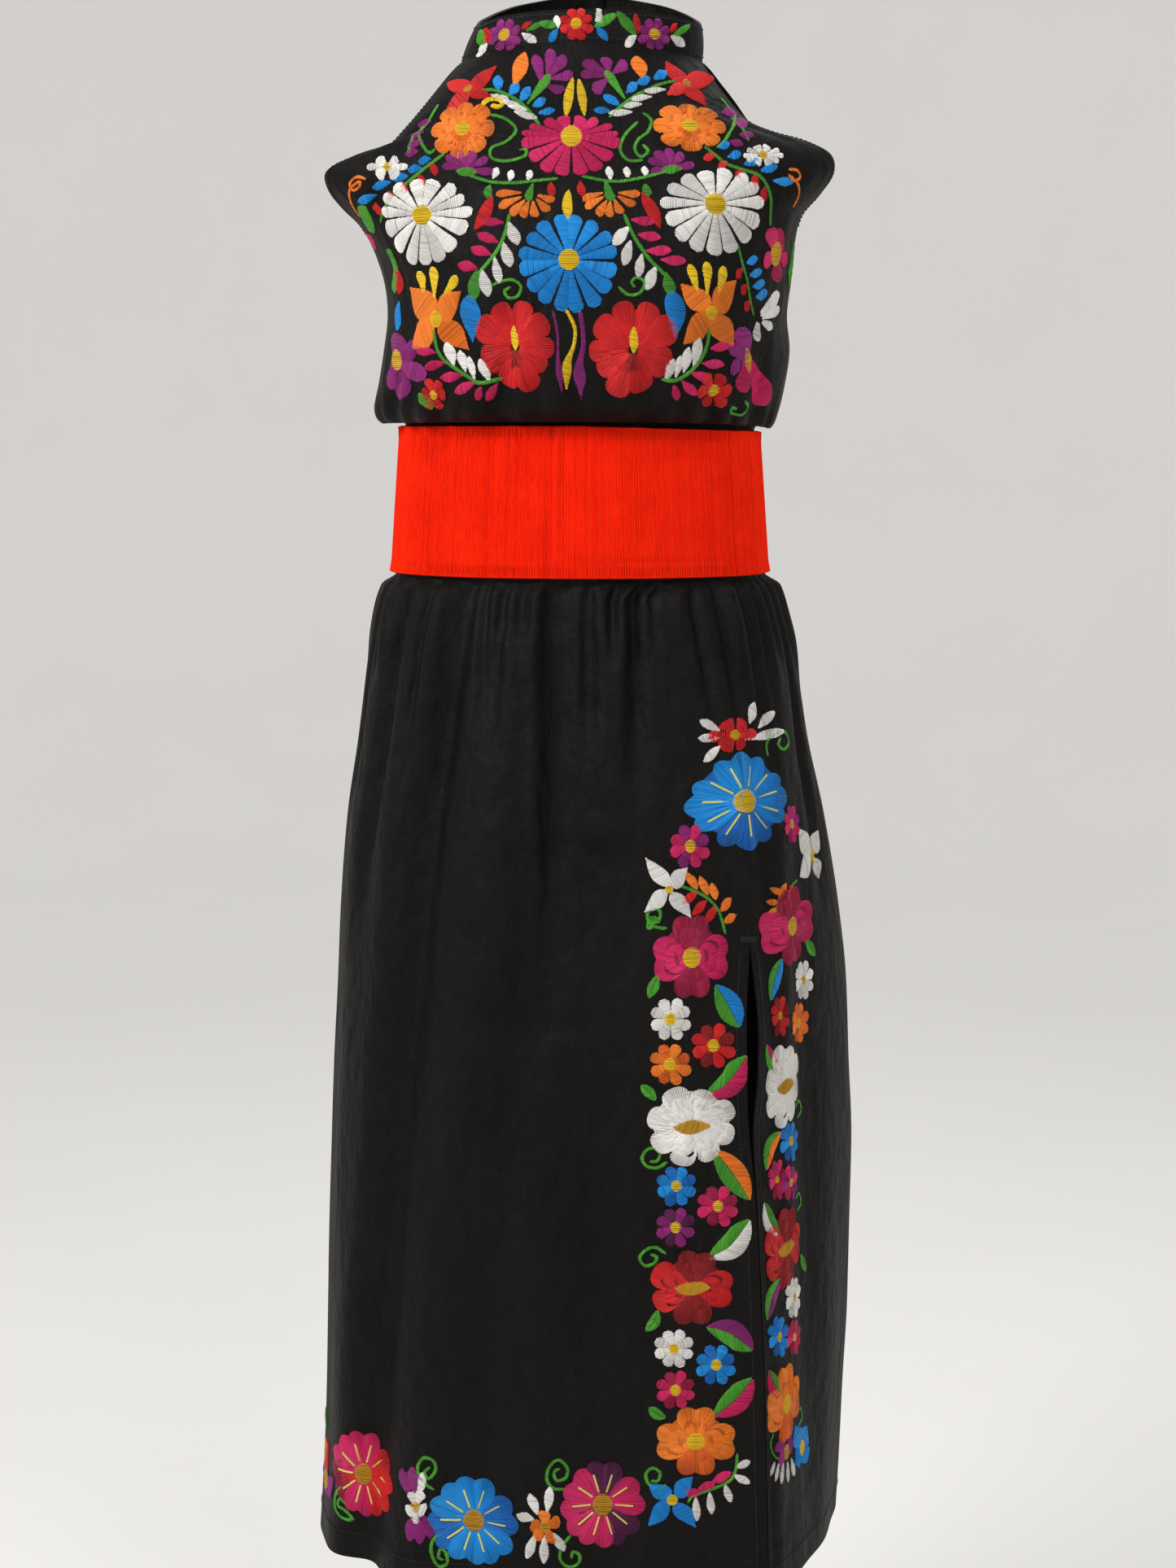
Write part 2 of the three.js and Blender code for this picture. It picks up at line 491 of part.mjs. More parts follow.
function skirtPoint(place, z) {
  const section = skirtSection(z);
  const loose = ease((-377 - z) / 14);
  const on = (at) => ringPoint(section, at).lerp(sectionPoint(section, at), loose);
  const here = on(place);
  const step = 0.02;
  const before = on(Math.max(0, place - step));
  const after = on(Math.min(9, place + step));
  const along = after.sub(before);
  const speed = along.length() / (Math.min(9, place + step) - Math.max(0, place - step));
  const out = new THREE.Vector2(-along.y, along.x).normalize();
  let push = 0;
  for (const fold of SKIRT_FOLDS) {
    const down = (fold.top - z) / (fold.top - fold.bottom);
    const centre = fold.at + (fold.to - fold.at) * Math.max(0, Math.min(1, down));
    const start = ease((fold.top + 6 - z) / 18);
    const end = fold.bottom <= HEM ? 1 : 1 - ease((down - 0.55) / 0.45);
    const width = fold.width * (1 + 0.5 * Math.max(0, Math.min(1, down)));
    push += fold.depth * start * end * bump((place - centre) * speed, width);
  }
  // Level towards the slit's edges, so that both sides of its seam keep their gap
  push *= ease(Math.min(place, 9 - place) / 0.12);
  return new THREE.Vector3(here.x + out.x * push, here.y + out.y * push, z);
}
function skirt() {
  const places = [0];
  SKIRT_STEPS.forEach((steps, i) => {
    for (let k = 1; k <= steps; k += 1) places.push(i + k / steps);
  });
  const SEAMS = { front: [0, 3], back: [3, 7], side: [7, 9] };
  const pieces = {};
  for (const [name, [from, to]] of Object.entries(SEAMS)) {
    const cloth = new Cloth();
    const own = places.filter((place) => place >= from - 1e-9 && place <= to + 1e-9);
    const rows = [...SKIRT_ROWS].reverse().map((z) =>
      own.map((place) => {
        const point = skirtPoint(place, z);
        if ((name === "back" && place === from) || (name === "side" && place === from)) point.y += name === "back" ? SEAM_GAP : -SEAM_GAP;
        return point;
      }),
    );
    // Counted the other way, so that the outer face looks out
    const ids = cloth.addGrid(rows.map((row) => [...row].reverse())).map((row) => [...row].reverse());
    cloth.findNormals();
    pieces[name] = { cloth, ids };
  }
  const edge = ({ ids }, last) => ids.map((row) => row[last ? row.length - 1 : 0]);
  Cloth.mitre(pieces.front.cloth, edge(pieces.front, true), pieces.back.cloth, edge(pieces.back, false));
  Cloth.mitre(pieces.back.cloth, edge(pieces.back, true), pieces.side.cloth, edge(pieces.side, false));
  Cloth.mitre(pieces.side.cloth, edge(pieces.side, true), pieces.front.cloth, edge(pieces.front, false));
  for (const { cloth, ids } of Object.values(pieces)) cloth.level(ids[ids.length - 1]);
  return [
    pieces.front.cloth.mesh("skirt_front", CLOTH_WALL, 0x191719),
    pieces.side.cloth.mesh("skirt_side_front", CLOTH_WALL, 0x191719),
    pieces.back.cloth.mesh("skirt_back", CLOTH_WALL, 0x191719),
  ];
}

const dress = new THREE.Group();
dress.name = "halter_dress";
dress.add(collarBand(), collarButton(), ...bodice(), belt(), ...skirt());
export default dress;
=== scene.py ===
import math

import bpy
import numpy as np
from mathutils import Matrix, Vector
from mathutils.bvhtree import BVHTree


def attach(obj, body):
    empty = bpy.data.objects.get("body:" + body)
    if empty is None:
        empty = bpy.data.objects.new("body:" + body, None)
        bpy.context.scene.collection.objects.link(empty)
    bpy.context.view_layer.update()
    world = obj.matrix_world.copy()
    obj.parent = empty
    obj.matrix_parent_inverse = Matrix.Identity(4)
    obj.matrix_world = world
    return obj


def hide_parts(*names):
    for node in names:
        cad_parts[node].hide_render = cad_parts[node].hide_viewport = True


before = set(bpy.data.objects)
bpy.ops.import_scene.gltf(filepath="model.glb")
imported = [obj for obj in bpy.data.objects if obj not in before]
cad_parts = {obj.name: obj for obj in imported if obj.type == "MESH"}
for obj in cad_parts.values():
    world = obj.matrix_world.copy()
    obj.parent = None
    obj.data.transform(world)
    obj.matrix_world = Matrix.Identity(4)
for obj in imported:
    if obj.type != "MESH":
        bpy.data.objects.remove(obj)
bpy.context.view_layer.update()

# Camera, standing where the photograph was taken from: level with the belt and looking a little down.
SENSOR = 36
LENS = 57.91
PICTURE = (1445, 1927)
PICTURE_FOCUS = LENS / SENSOR * PICTURE[1]
CAMERA_PLACE = (0.006, -1.9, -0.267)
CAMERA_TILT = math.radians(8.1)
camera = bpy.data.objects.new("camera", bpy.data.cameras.new("camera"))
camera.data.lens = LENS
camera.data.sensor_width = SENSOR
camera.location = CAMERA_PLACE
camera.rotation_euler = (math.pi / 2 - CAMERA_TILT, 0, 0)
bpy.context.scene.collection.objects.link(camera)
bpy.context.scene.camera = camera


# Black cotton, the dress's own cloth: plain woven, a little crinkled and dusty on its raised threads.
# Each thread runs slightly uneven, so the cloth catches the light in fine slubs.
class Out:
    """One output in a node tree; sums of outputs are written as sums."""

    def __init__(self, tree, socket=None):
        self.tree = tree
        self.socket = socket

    def node(self, kind, settings, values, out=0):
        made = self.tree.nodes.new(kind)
        for name, value in settings.items():
            setattr(made, name, value)
        for name, value in values.items():
            if isinstance(value, Out):
                self.tree.links.new(value.socket, made.inputs[name])
            else:
                made.inputs[name].default_value = value
        return Out(self.tree, made.outputs[out] if made.outputs else None)

    def sum(self, operation, first, second):
        return self.node("ShaderNodeMath", {"operation": operation}, {0: first, 1: second})

    def __add__(self, other):
        return self.sum("ADD", self, other)

    def __sub__(self, other):
        return self.sum("SUBTRACT", self, other)

    def __rsub__(self, other):
        return self.sum("SUBTRACT", other, self)

    def __mul__(self, other):
        return self.sum("MULTIPLY", self, other)

    __radd__ = __add__
    __rmul__ = __mul__

    def between(self, low, high):
        """Where this runs from low to high, as 0 to 1"""
        ends = {"From Min": low, "From Max": high}
        return self.node("ShaderNodeMapRange", {}, {"Value": self, **ends})

    def stretched(self, by):
        """This vector, each part times its own number"""
        return self.node("ShaderNodeVectorMath", {"operation": "MULTIPLY"}, {0: self, 1: by})

    def noise(self, scale, detail=2.0):
        return self.node("ShaderNodeTexNoise", {}, {"Vector": self, "Scale": scale, "Detail": detail})

    def colours(self, low, high):
        """A colour from low to high as this goes from 0 to 1"""
        return self.node("ShaderNodeMix", {"data_type": "RGBA"}, {0: self, 6: low, 7: high}, out=2)

    def bumped(self, distance, under=None):
        """A normal raised by this height, on top of another bump"""
        values = {"Height": self, "Distance": distance, "Strength": 1.0}
        if under is not None:
            values["Normal"] = under
        return self.node("ShaderNodeBump", {}, values)


def material(name):
    """A new material, its tree to add to, and its principled shader's inputs"""
    made = bpy.data.materials.new(name)
    made.use_nodes = True
    return made, Out(made.node_tree), made.node_tree.nodes["Principled BSDF"].inputs


def feed(tree, inputs, **values):
    """Sets a shader's inputs, or joins outputs to them; the names have _ for a space"""
    for name, value in values.items():
        entry = inputs[name.replace("_", " ")]
        if isinstance(value, Out):
            tree.tree.links.new(value.socket, entry)
        else:
            entry.default_value = value


cotton, tree, inputs = material("black_cotton")
place = tree.node("ShaderNodeTexCoord", {}, {}, out=3)
lengthways = tree.node("ShaderNodeTexCoord", {}, {}, out=2)
crinkle = place.stretched((1, 1, 0.55)).noise(95, 3.0).between(0.3, 0.7)
rumple = place.stretched((1, 1, 0.4)).noise(26, 2.0).between(0.3, 0.7)
warp = lengthways.stretched((1400, 60, 1)).noise(1, 1.0)
weft = lengthways.stretched((60, 1400, 1)).noise(1, 1.0)
weave = (warp + weft) * 0.5
dust = crinkle * 0.35 + rumple * 0.25 + weave.between(0.42, 0.62) * 0.4
feed(
    tree,
    inputs,
    Base_Color=dust.colours((0.0012, 0.001, 0.0009, 1), (0.0058, 0.0048, 0.0042, 1)),
    Roughness=0.64 - dust * 0.12,
    Sheen_Weight=0.004,
    Sheen_Roughness=0.4,
    Specular_IOR_Level=0.1,
    Normal=weave.bumped(0.0005, crinkle.bumped(0.0011, rumple.bumped(0.0022))),
)


# Bodice front: one panel of the cotton from the waist seam up to the collar, its stiff armhole wings part of
# it, gathered and pushed up over the belt. A row per section; left and right are its two edges.
def spots_of(word):
    """A path of places, written as x,y>x,y"""
    return [tuple(float(part) for part in spot.split(",")) for spot in word.split(">")]


def rows(text):
    """A table in plain text: its first line names the columns, and a row may leave its last ones out"""
    lines = [line.split() for line in text.strip().splitlines()]
    table = []
    for line in lines[1:]:
        row = {}
        for name, word in zip(lines[0], line):
            if "," in word:
                row[name] = spots_of(word)
            elif word.lstrip("-").replace(".", "", 1).isdigit():
                row[name] = float(word)
            else:
                row[name] = word
        table.append(row)
    return table


BODICE_FRONT = rows("""
mid_z   mid_y   left_x left_y left_z  right_x right_y right_z sweep flat
-319.8  -97.5   -134   1      -319.8  134     1       -319.8  1     1
-266.5  -96.5   -130   1      -266.5  130     1       -270    1     1
-265    -110    -147   1      -266    142     1       -269.5  1     1.02
-254    -122    -153   1      -256    148     1       -256    1     1.08
-234    -127.5  -149   1      -236    153     1       -232    1     1.15
-212    -130    -145   1      -214    155     1       -212    1     1.22
-187    -131.5  -142   1      -190    153     1       -188    1     1.3
-163    -132    -144   2      -165    156     2       -162    1     1.35
-142    -130    -151   3      -142    158     3       -138    1     1.38
-124    -125    -160   -11    -124    162     -12     -116    0.98  1.38
-107    -118    -172   -27    -112    174     -27     -102    0.93  1.36
-92     -110.5  -181   -41    -100    183     -40     -88     0.87  1.32
-78     -103.5  -182   -50    -88     180     -48     -75     0.82  1.26
-64     -96.5   -168   -58    -81     162     -57     -67     0.79  1.2
-50     -90     -143   -64    -77     139     -63     -62     0.78  1.15
-36     -83.5   -124   -57    -58     120     -57     -53     0.8   1.1
-18     -76     -103   -37    -30     101     -37     -28     0.84  1.04
""")
COLLAR_EDGES = rows("""
angle base top
0     0    23
40    -2   22
80    -5.5 20
102   -1   27
140   17   44
180   29   56
""")
# Gathers over the belt: at runs from -1 to 1 across the panel, reach is how many rows up they fade out
BLOUSE_FOLDS = rows("""
at     depth width reach
-0.9   -4    0.03  4
-0.78  -8    0.05  6.4
-0.655 -5.5  0.03  5
-0.5   -7    0.04  5.2
-0.415 -4    0.022 3.8
-0.26  -8.5  0.042 6.8
-0.13  -4.4  0.024 4
-0.02  -7    0.034 5.6
0.1    -4    0.022 3.9
0.22   -8.5  0.04  6.6
0.35   -5    0.028 4.4
0.48   -7    0.036 5.2
0.6    -4.4  0.024 4
0.74   -8    0.048 6.4
0.88   -5    0.03  4.2
""")
# Soft creases of the worn bodice: from a point to a point in the panel (across, row), raised or sunk
BODICE_CREASES = rows("""
from_x from_row to_x  to_row depth width
-0.93  8.4      -0.55 6.2    -2.6  0.05
-0.97  7.2      -0.7  4.6    -2.2  0.05
0.95   8.2      0.6   6.4    -2.6  0.05
0.97   6.8      0.72  4.8    -2.2  0.045
-0.62  15.2     -0.86 12.4   -1.8  0.05
0.6    15.2     0.86  12.2   -1.8  0.05
-0.3   16.6     -0.42 13.4   -1.2  0.05
0.26   16.6     0.38  13.6   -1.2  0.05
-0.1   9.8      -0.34 7.4    -1    0.06
0.16   9.2      0.4   7.2    -1    0.06
""")
CREASE_ROWS = 16
HOLLOW_DEPTH = 0.45
HOLLOW_WIDTH = 2.2
CLOTH_WALL = 0.0014
SEAM_GAP = 0.00002
NECK_GAP = 0.00004
NECK_SHIFT = (1.5, 7)
NECK_HALF_WIDTH = (88, 82)
NECK_HALF_DEPTH = (70, 66)
NECK_SIDE = 78
MM = 0.001


def column(table, key, name, value):
    """A column of a table at a key, through every row without overshoot"""
    table = sorted(table, key=lambda row: row[key])
    x = [row[key] for row in table]
    y = [row[name] for row in table]
    last = len(x) - 1
    if value <= x[0]:
        return y[0]
    if value >= x[last]:
        return y[last]
    slopes = [(y[i + 1] - y[i]) / (x[i + 1] - x[i]) for i in range(last)]

    def lean(i):
        if i in (0, last):
            return slopes[0 if i == 0 else last - 1]
        before, after = slopes[i - 1], slopes[i]
        return 0 if before * after <= 0 else 2 * before * after / (before + after)

    i = max(j for j in range(last) if x[j] <= value)
    span = x[i + 1] - x[i]
    t = (value - x[i]) / span
    level = y[i] * (1 + 2 * t) * (1 - t) ** 2 + y[i + 1] * t * t * (3 - 2 * t)
    return level + span * (lean(i) * t * (1 - t) ** 2 - lean(i + 1) * t * t * (1 - t))


def through(points, places):
    """A smooth line through rows of numbers, at places counted in rows"""
    points = np.asarray(points, float)
    last = len(points) - 1
    i = np.clip(np.floor(places).astype(int), 0, last - 1)
    t = (places - i).reshape((-1,) + (1,) * (points.ndim - 1))
    a, b, c, d = (points[np.clip(i + step, 0, last)] for step in (-1, 0, 1, 2))
    bend = (2 * a - 5 * b + 4 * c - d) * t**2 + (3 * b - a - 3 * c + d) * t**3
    return 0.5 * (2 * b + (c - a) * t + bend)


def ease(t):
    held = np.clip(t, 0, 1)
    return held * held * (3 - 2 * held)


def bump(distance, width):
    return np.exp(-((distance / width) ** 2))


def blend(share, *pairs):
    """A number between the two of each pair"""
    return [np.interp(share, (0, 1), pair) for pair in pairs]


def neck_points(angles, rise):
    """Points on the collar's ring; rise is 0 at the neck seam and 1 at its top edge"""
    turn = np.abs((angles + 540) % 360 - 180)
    base = np.array([column(COLLAR_EDGES, "angle", "base", a) for a in turn])
    top = np.array([column(COLLAR_EDGES, "angle", "top", a) for a in turn])
    shift, wide, deep = blend(rise, NECK_SHIFT, NECK_HALF_WIDTH, NECK_HALF_DEPTH)
    round_neck = np.radians(angles)
    x = shift + wide * np.sin(round_neck)
    y = -deep * np.cos(round_neck)
    return np.stack([x, y, base + (top - base) * rise], axis=1) * MM


def bodice_row(row, across):
    """One section of the bodice, from edge to edge"""
    side = np.where(across < 0, 0, 1)
    end = np.array([[row[f"{name}_{axis}"] for axis in "xyz"] for name in ("left", "right")])[side]
    whole = row["sweep"] * math.pi / 2
    turn = whole * np.abs(across)
    out = np.sin(turn) / math.sin(whole)
    back = ((1 - np.cos(turn)) / (1 - math.cos(whole))) ** row["flat"]
    y = row["mid_y"] + (end[:, 1] - row["mid_y"]) * back
    z = row["mid_z"] + (end[:, 2] - row["mid_z"]) * back
    return np.stack([end[:, 0] * out, y, z], axis=1) * MM


def normals_of(grid):
    """Outward directions over a grid of points whose rows run upwards and columns to the viewer's right"""
    across = np.gradient(grid, axis=1)
    up = np.gradient(grid, axis=0)
    out = np.cross(across, up)
    return out / np.linalg.norm(out, axis=2, keepdims=True)


def run_of(line):
    """How far along a line each of its points lies"""
    steps = np.linalg.norm(np.diff(line, axis=0), axis=1)
    return np.concatenate([[0], np.cumsum(steps)])


def spot_on(line, run, distance):
    """The place that lies at a distance along a line"""
    return np.array([np.interp(distance, run, part) for part in np.transpose(line)])


def lengths(grid, axis):
    """Distance along a grid's middle line, in metres"""
    return run_of(grid[:, grid.shape[1] // 2] if axis == 0 else grid[grid.shape[0] // 2])


def put(name, points, faces, uv=None, finish=None):
    """A mesh object with smooth faces"""
    mesh = bpy.data.meshes.new(name)
    mesh.from_pydata([tuple(p) for p in points], [], [tuple(int(i) for i in face) for face in faces])
    mesh.shade_smooth()
    if uv is not None:
        corners = np.empty(len(mesh.loops), int)
        mesh.loops.foreach_get("vertex_index", corners)
        mesh.uv_layers.new(name="cut").data.foreach_set("uv", np.asarray(uv)[corners].ravel())
    if finish is not None:
        mesh.materials.append(finish)
    made = bpy.data.objects.new(name, mesh)
    bpy.context.scene.collection.objects.link(made)
    return made


def cells_of(row_count, column_count):
    ids = np.arange(row_count * column_count).reshape(row_count, column_count)
    corners = [ids[:-1, :-1], ids[:-1, 1:], ids[1:, 1:], ids[1:, :-1]]
    return np.stack([corner.ravel() for corner in corners], axis=1)


def cloth(name, grids, wall, finish):
    """A thin shell on one outer grid, or on two that share the points where they meet"""
    points, faces, cut = [], [], []
    number_of = {}
    for grid in grids:
        ids = []
        u, v = lengths(grid, 1), lengths(grid, 0)
        for r, row in enumerate(grid):
            for c, point in enumerate(row):
                key = tuple(np.round(point, 7))
                if key not in number_of:
                    number_of[key] = len(points)
                    points.append(point)
                    cut.append((u[c], v[r]))
                ids.append(number_of[key])
        faces.extend(np.array(ids)[cells_of(*grid.shape[:2])].tolist())
    points = np.array(points)
    normals = np.zeros_like(points)
    for a, b, c, d in faces:
        normals[[a, b, c, d]] += np.cross(points[c] - points[a], points[d] - points[b])
    normals /= np.linalg.norm(normals, axis=1, keepdims=True)
    count = len(points)
    edges = {(a, b) for face in faces for a, b in zip(face, face[1:] + face[:1])}
    rim = [(b, a, count + a, count + b) for a, b in edges if (b, a) not in edges]
    inside = [(count + a, count + d, count + c, count + b) for a, b, c, d in faces]
    both = np.concatenate([points, points - normals * wall])
    made = put(name, both, faces + inside + rim, cut + cut, finish)
    rim_points = {i for face in rim for i in face}
    sharp = [a in rim_points and b in rim_points for a, b in (edge.vertices for edge in made.data.edges)]
    made.data.attributes.new("sharp_edge", "BOOLEAN", "EDGE").data.foreach_set("value", sharp)
    return made


def blouse(grid, row_places, across, facing):
    """Presses the gathers into a bodice panel"""
    out = np.stack([grid[..., 0] * 0.6, np.full(grid.shape[:2], facing * 0.11), grid[..., 2] * 0], axis=2)
    out /= np.linalg.norm(out, axis=2, keepdims=True)
    push = np.zeros(grid.shape[:2])
    for fold in BLOUSE_FOLDS:
        start = ease((row_places - 1.2) / 0.9)
        strength = start * (1 - ease((row_places - 2.2) / (fold["reach"] - 2.2)))
        away = across[None, :] - (fold["at"] * (1 - 0.03 * row_places))[:, None]
        push += fold["depth"] * MM * strength[:, None] * bump(away, fold["width"])
    return grid + out * push[..., None]


def crease(grid, across, row_places, facing):
    """Presses the bodice's long creases in, each in a shallow hollow; the back has them mirrored"""
    push = np.zeros(grid.shape[:2])
    x, row = np.meshgrid(across, row_places / CREASE_ROWS)
    for line in BODICE_CREASES:
        start = np.array([line["from_x"] * facing, line["from_row"] / CREASE_ROWS])
        end = np.array([line["to_x"] * facing, line["to_row"] / CREASE_ROWS])
        span = end - start
        t = ((x - start[0]) * span[0] + (row - start[1]) * span[1]) / (span @ span)
        held = np.clip(t, 0, 1)
        away = np.hypot(x - start[0] - held * span[0], row - start[1] - held * span[1])
        taper = np.sin(np.pi * np.clip(held, 0.04, 0.96))
        ridge = bump(away, line["width"]) - HOLLOW_DEPTH * bump(away, line["width"] * HOLLOW_WIDTH)
        push += line["depth"] * MM * taper * ridge
    return grid + normals_of(grid) * push[..., None]


def bodice_panel(sections, middle_angle, across, row_places, facing):
    """A panel from its sections up to the neck seam; its creases fade before its edges and the seam"""
    seam_angles = middle_angle + np.linspace(-NECK_SIDE, NECK_SIDE, len(across))
    neck_seam = neck_points(seam_angles, 0)
    neck_seam[:, 2] -= NECK_GAP
    grid = blouse(through(sections + [neck_seam], row_places), row_places, across, facing)
    from_edge = ease((1 - np.abs(across)) / 0.06)[None, :, None]
    from_seam = ease((len(sections) - row_places) / 1.2)[:, None, None]
    return grid + (crease(grid, across, row_places, -facing) - grid) * (from_edge * from_seam)


FRONT_ROWS = 86
FRONT_COLUMNS = 129
across = np.linspace(-1, 1, FRONT_COLUMNS)
sections = [bodice_row(row, across) for row in BODICE_FRONT]
row_places = np.linspace(0, len(sections), FRONT_ROWS)
front_grid = bodice_panel(sections, 0, across, row_places, -1)
bodice_front = cloth("bodice_front_cloth", [front_grid], CLOTH_WALL, cotton)
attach(bodice_front, "root")
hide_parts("bodice_front")

# Bodice back: a full cut-in panel of the same cotton with a short slit at the nape, gathered like the front.
# It isn't seen in the photograph and is finished plainly.
BODICE_BACK = rows("""
mid_z   mid_y  left_x left_y left_z right_x right_y right_z sweep flat
-319.8  98.5
-267    96.5
-260.5  110
-251    119
-236    121
-214    118
-190    114
-165    111
-141    109.5
-121    109    -156   20     -124   161     20      -121    0.97  1.15
-101    108    -156   40     -105   159     40      -103    0.9   1.15
-81     106    -150   57     -84    152     57      -83     0.83  1.15
-61     103    -140   67     -63    142     67      -62     0.78  1.12
-41     98     -128   68     -43    130     68      -42     0.76  1.1
-20     90     -115   60     -25    117     60      -25     0.76  1.07
1       81     -103   45     -13    105     45      -13     0.79  1.04
16      75     -93    29     -5     96      29      -5      0.83  1.02
""")
UNDERARM_ROW = 8
NAPE_SLIT_ROW = 12
NAPE_SLIT_HALF = (0, 0.4, 0.6, 0.5, 0.3, 0.1)
BACK_ROWS = 69
BACK_COLUMNS = 91
across = np.linspace(1, -1, BACK_COLUMNS)
sections = []
for index, own in enumerate(BODICE_BACK):
    row = dict(own)
    if index <= UNDERARM_ROW:
        shared = BODICE_FRONT[index]
        row = {**shared, "flat": min(1.1, shared["flat"]), "mid_z": own["mid_z"], "mid_y": own["mid_y"]}
        row["left_y"] += SEAM_GAP / MM
        row["right_y"] += SEAM_GAP / MM
    sections.append(bodice_row(row, across))
row_places = np.linspace(0, len(sections), BACK_ROWS)
back_grid = bodice_panel(sections, 180, across, row_places, 1)
middle = BACK_COLUMNS // 2
open_rows = np.clip(row_places - NAPE_SLIT_ROW, 0, len(NAPE_SLIT_HALF) - 1)
gap = through(np.array(NAPE_SLIT_HALF)[:, None], open_rows)[:, 0] * (row_places > NAPE_SLIT_ROW) * MM
nearer, further = back_grid[:, : middle + 1].copy(), back_grid[:, middle:].copy()
nearer[:, -1, 0] += gap
further[:, 0, 0] -= gap
bodice_back = cloth("bodice_back_cloth", [nearer, further], CLOTH_WALL, cotton)
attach(bodice_back, "root")
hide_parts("bodice_back")

# Collar band: a stand collar of two layers and an interlining, sewn to the neck edge and lapped at the nape.
COLLAR_WALL = 0.0018
COLLAR_LAP = 16
COLLAR_ROWS = 9
COLLAR_COLUMNS = 181


def lapped(points, centre_x, angles, lap, wall):
    """The end of a band that goes over its other end at the back"""
    lift = (wall + SEAM_GAP) * ease((angles - (180 - lap / 2 - 22)) / 20)
    out = np.stack([points[:, 0] - centre_x, points[:, 1], points[:, 2] * 0], axis=1)
    out /= np.linalg.norm(out, axis=1, keepdims=True)
    return points + out * lift[:, None]


angles = np.linspace(-180 - COLLAR_LAP / 2, 180 + COLLAR_LAP / 2, COLLAR_COLUMNS)
out = np.stack([np.sin(np.radians(angles)), -np.cos(np.radians(angles)), angles * 0], axis=1)
sections = []
for rise in np.linspace(0, 1, COLLAR_ROWS):
    points = neck_points(angles, rise)
    points[:, 2] += NECK_GAP * (1 - rise)
    belly = 1.2 * 4 * rise * (1 - rise) + 0.25 * np.sin(angles / 9) * rise
    points += out * belly[:, None] * MM
    sections.append(lapped(points, NECK_SHIFT[0] * MM, angles, COLLAR_LAP, COLLAR_WALL))
collar_grid = np.array(sections)
collar = cloth("collar_cloth", [collar_grid], COLLAR_WALL, cotton)
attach(collar, "root")
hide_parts("collar_band")

# Button at the nape: black, four holes, sewn on the collar's lapped end. The model's own piece with a
# glossier finish.
plastic, tree, inputs = material("black_button")
cloudy = tree.node("ShaderNodeTexCoord", {}, {}, out=3).noise(260, 3.0)
feed(
    tree,
    inputs,
    Base_Color=cloudy.colours((0.008, 0.008, 0.009, 1), (0.02, 0.019, 0.02, 1)),
    Roughness=cloudy * 0.2 + 0.22,
)
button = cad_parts["collar_button"]
for holder in button.material_slots:
    holder.material = plastic
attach(button, "root")

# Belt: a wide orange-red elastic band knitted in fine upright ribs, lapped at the centre back and sewn over
# the waist seam. It creases where it has been folded, and its two edges roll out a little.
BELT_HALF_WIDTH = (141.5, 134)
BELT_HALF_DEPTH = (103, 101)
BELT_DROP = (1, 4)
BELT_BOTTOM = -375
BELT_TOP = -268
BELT_WALL = 0.0024
BELT_LAP = 20
BELT_ROWS = 37
BELT_COLUMNS = 241
RIB_PITCH = 0.00118
RIB_RADIUS = 0.00046
# Folds pressed into the elastic: an angle round the belt, how deep, how wide, and from and to how high
BELT_FOLDS = rows("""
angle depth width low high
-47   -0.5  1.6   0   0.7
-28   -1.7  1.3   0   1
-9.6  -2.6  0.9   0   1
-7.6  1.3   0.9   0   1
21    -0.4  1.6   0.3 1
44    -0.5  1.5   0   0.8
82    -0.7  1.5   0   1
-84   -0.8  1.5   0   1
128   -0.7  1.5   0   1
-135  -0.8  1.4   0   1
163   -0.5  1.6   0.2 1
""")
angles = np.linspace(-180 - BELT_LAP / 2, 180 + BELT_LAP / 2, BELT_COLUMNS)
round_belt = np.radians(angles)
out = np.stack([np.sin(round_belt), -np.cos(round_belt), angles * 0], axis=1)
sections = []
for rise in np.linspace(0, 1, BELT_ROWS):
    wide, deep, drop = blend(rise, BELT_HALF_WIDTH, BELT_HALF_DEPTH, BELT_DROP)
    droop = drop * np.maximum(0, np.sin(round_belt)) * (0.5 + 0.5 * rise)
    height = BELT_BOTTOM + (BELT_TOP - BELT_BOTTOM) * rise - droop
    points = np.stack([wide * np.sin(round_belt), -deep * np.cos(round_belt), height], axis=1) * MM
    push = 0.9 * bump(rise, 0.022) + 0.8 * bump(1 - rise, 0.02) - 0.5 * bump(rise - 0.05, 0.02)
    push = push - 0.5 * bump(1 - rise - 0.045, 0.02) + 0.25 * np.sin(angles / 7) * (1 - rise)
    push = push + 0.9 * bump(rise - 0.085, 0.016) * ease((angles + 8) / 8) * ease((76 - angles) / 8)
    for fold in BELT_FOLDS:
        held = ease((rise - fold["low"] + 0.1) / 0.1) * ease((fold["high"] + 0.1 - rise) / 0.1)
        push = push + fold["depth"] * held * bump(angles - fold["angle"] - 1.2 * rise, fold["width"])
    points += out * push[:, None] * MM
    sections.append(lapped(points, 0, angles, BELT_LAP, BELT_WALL))
belt_grid = np.array(sections)

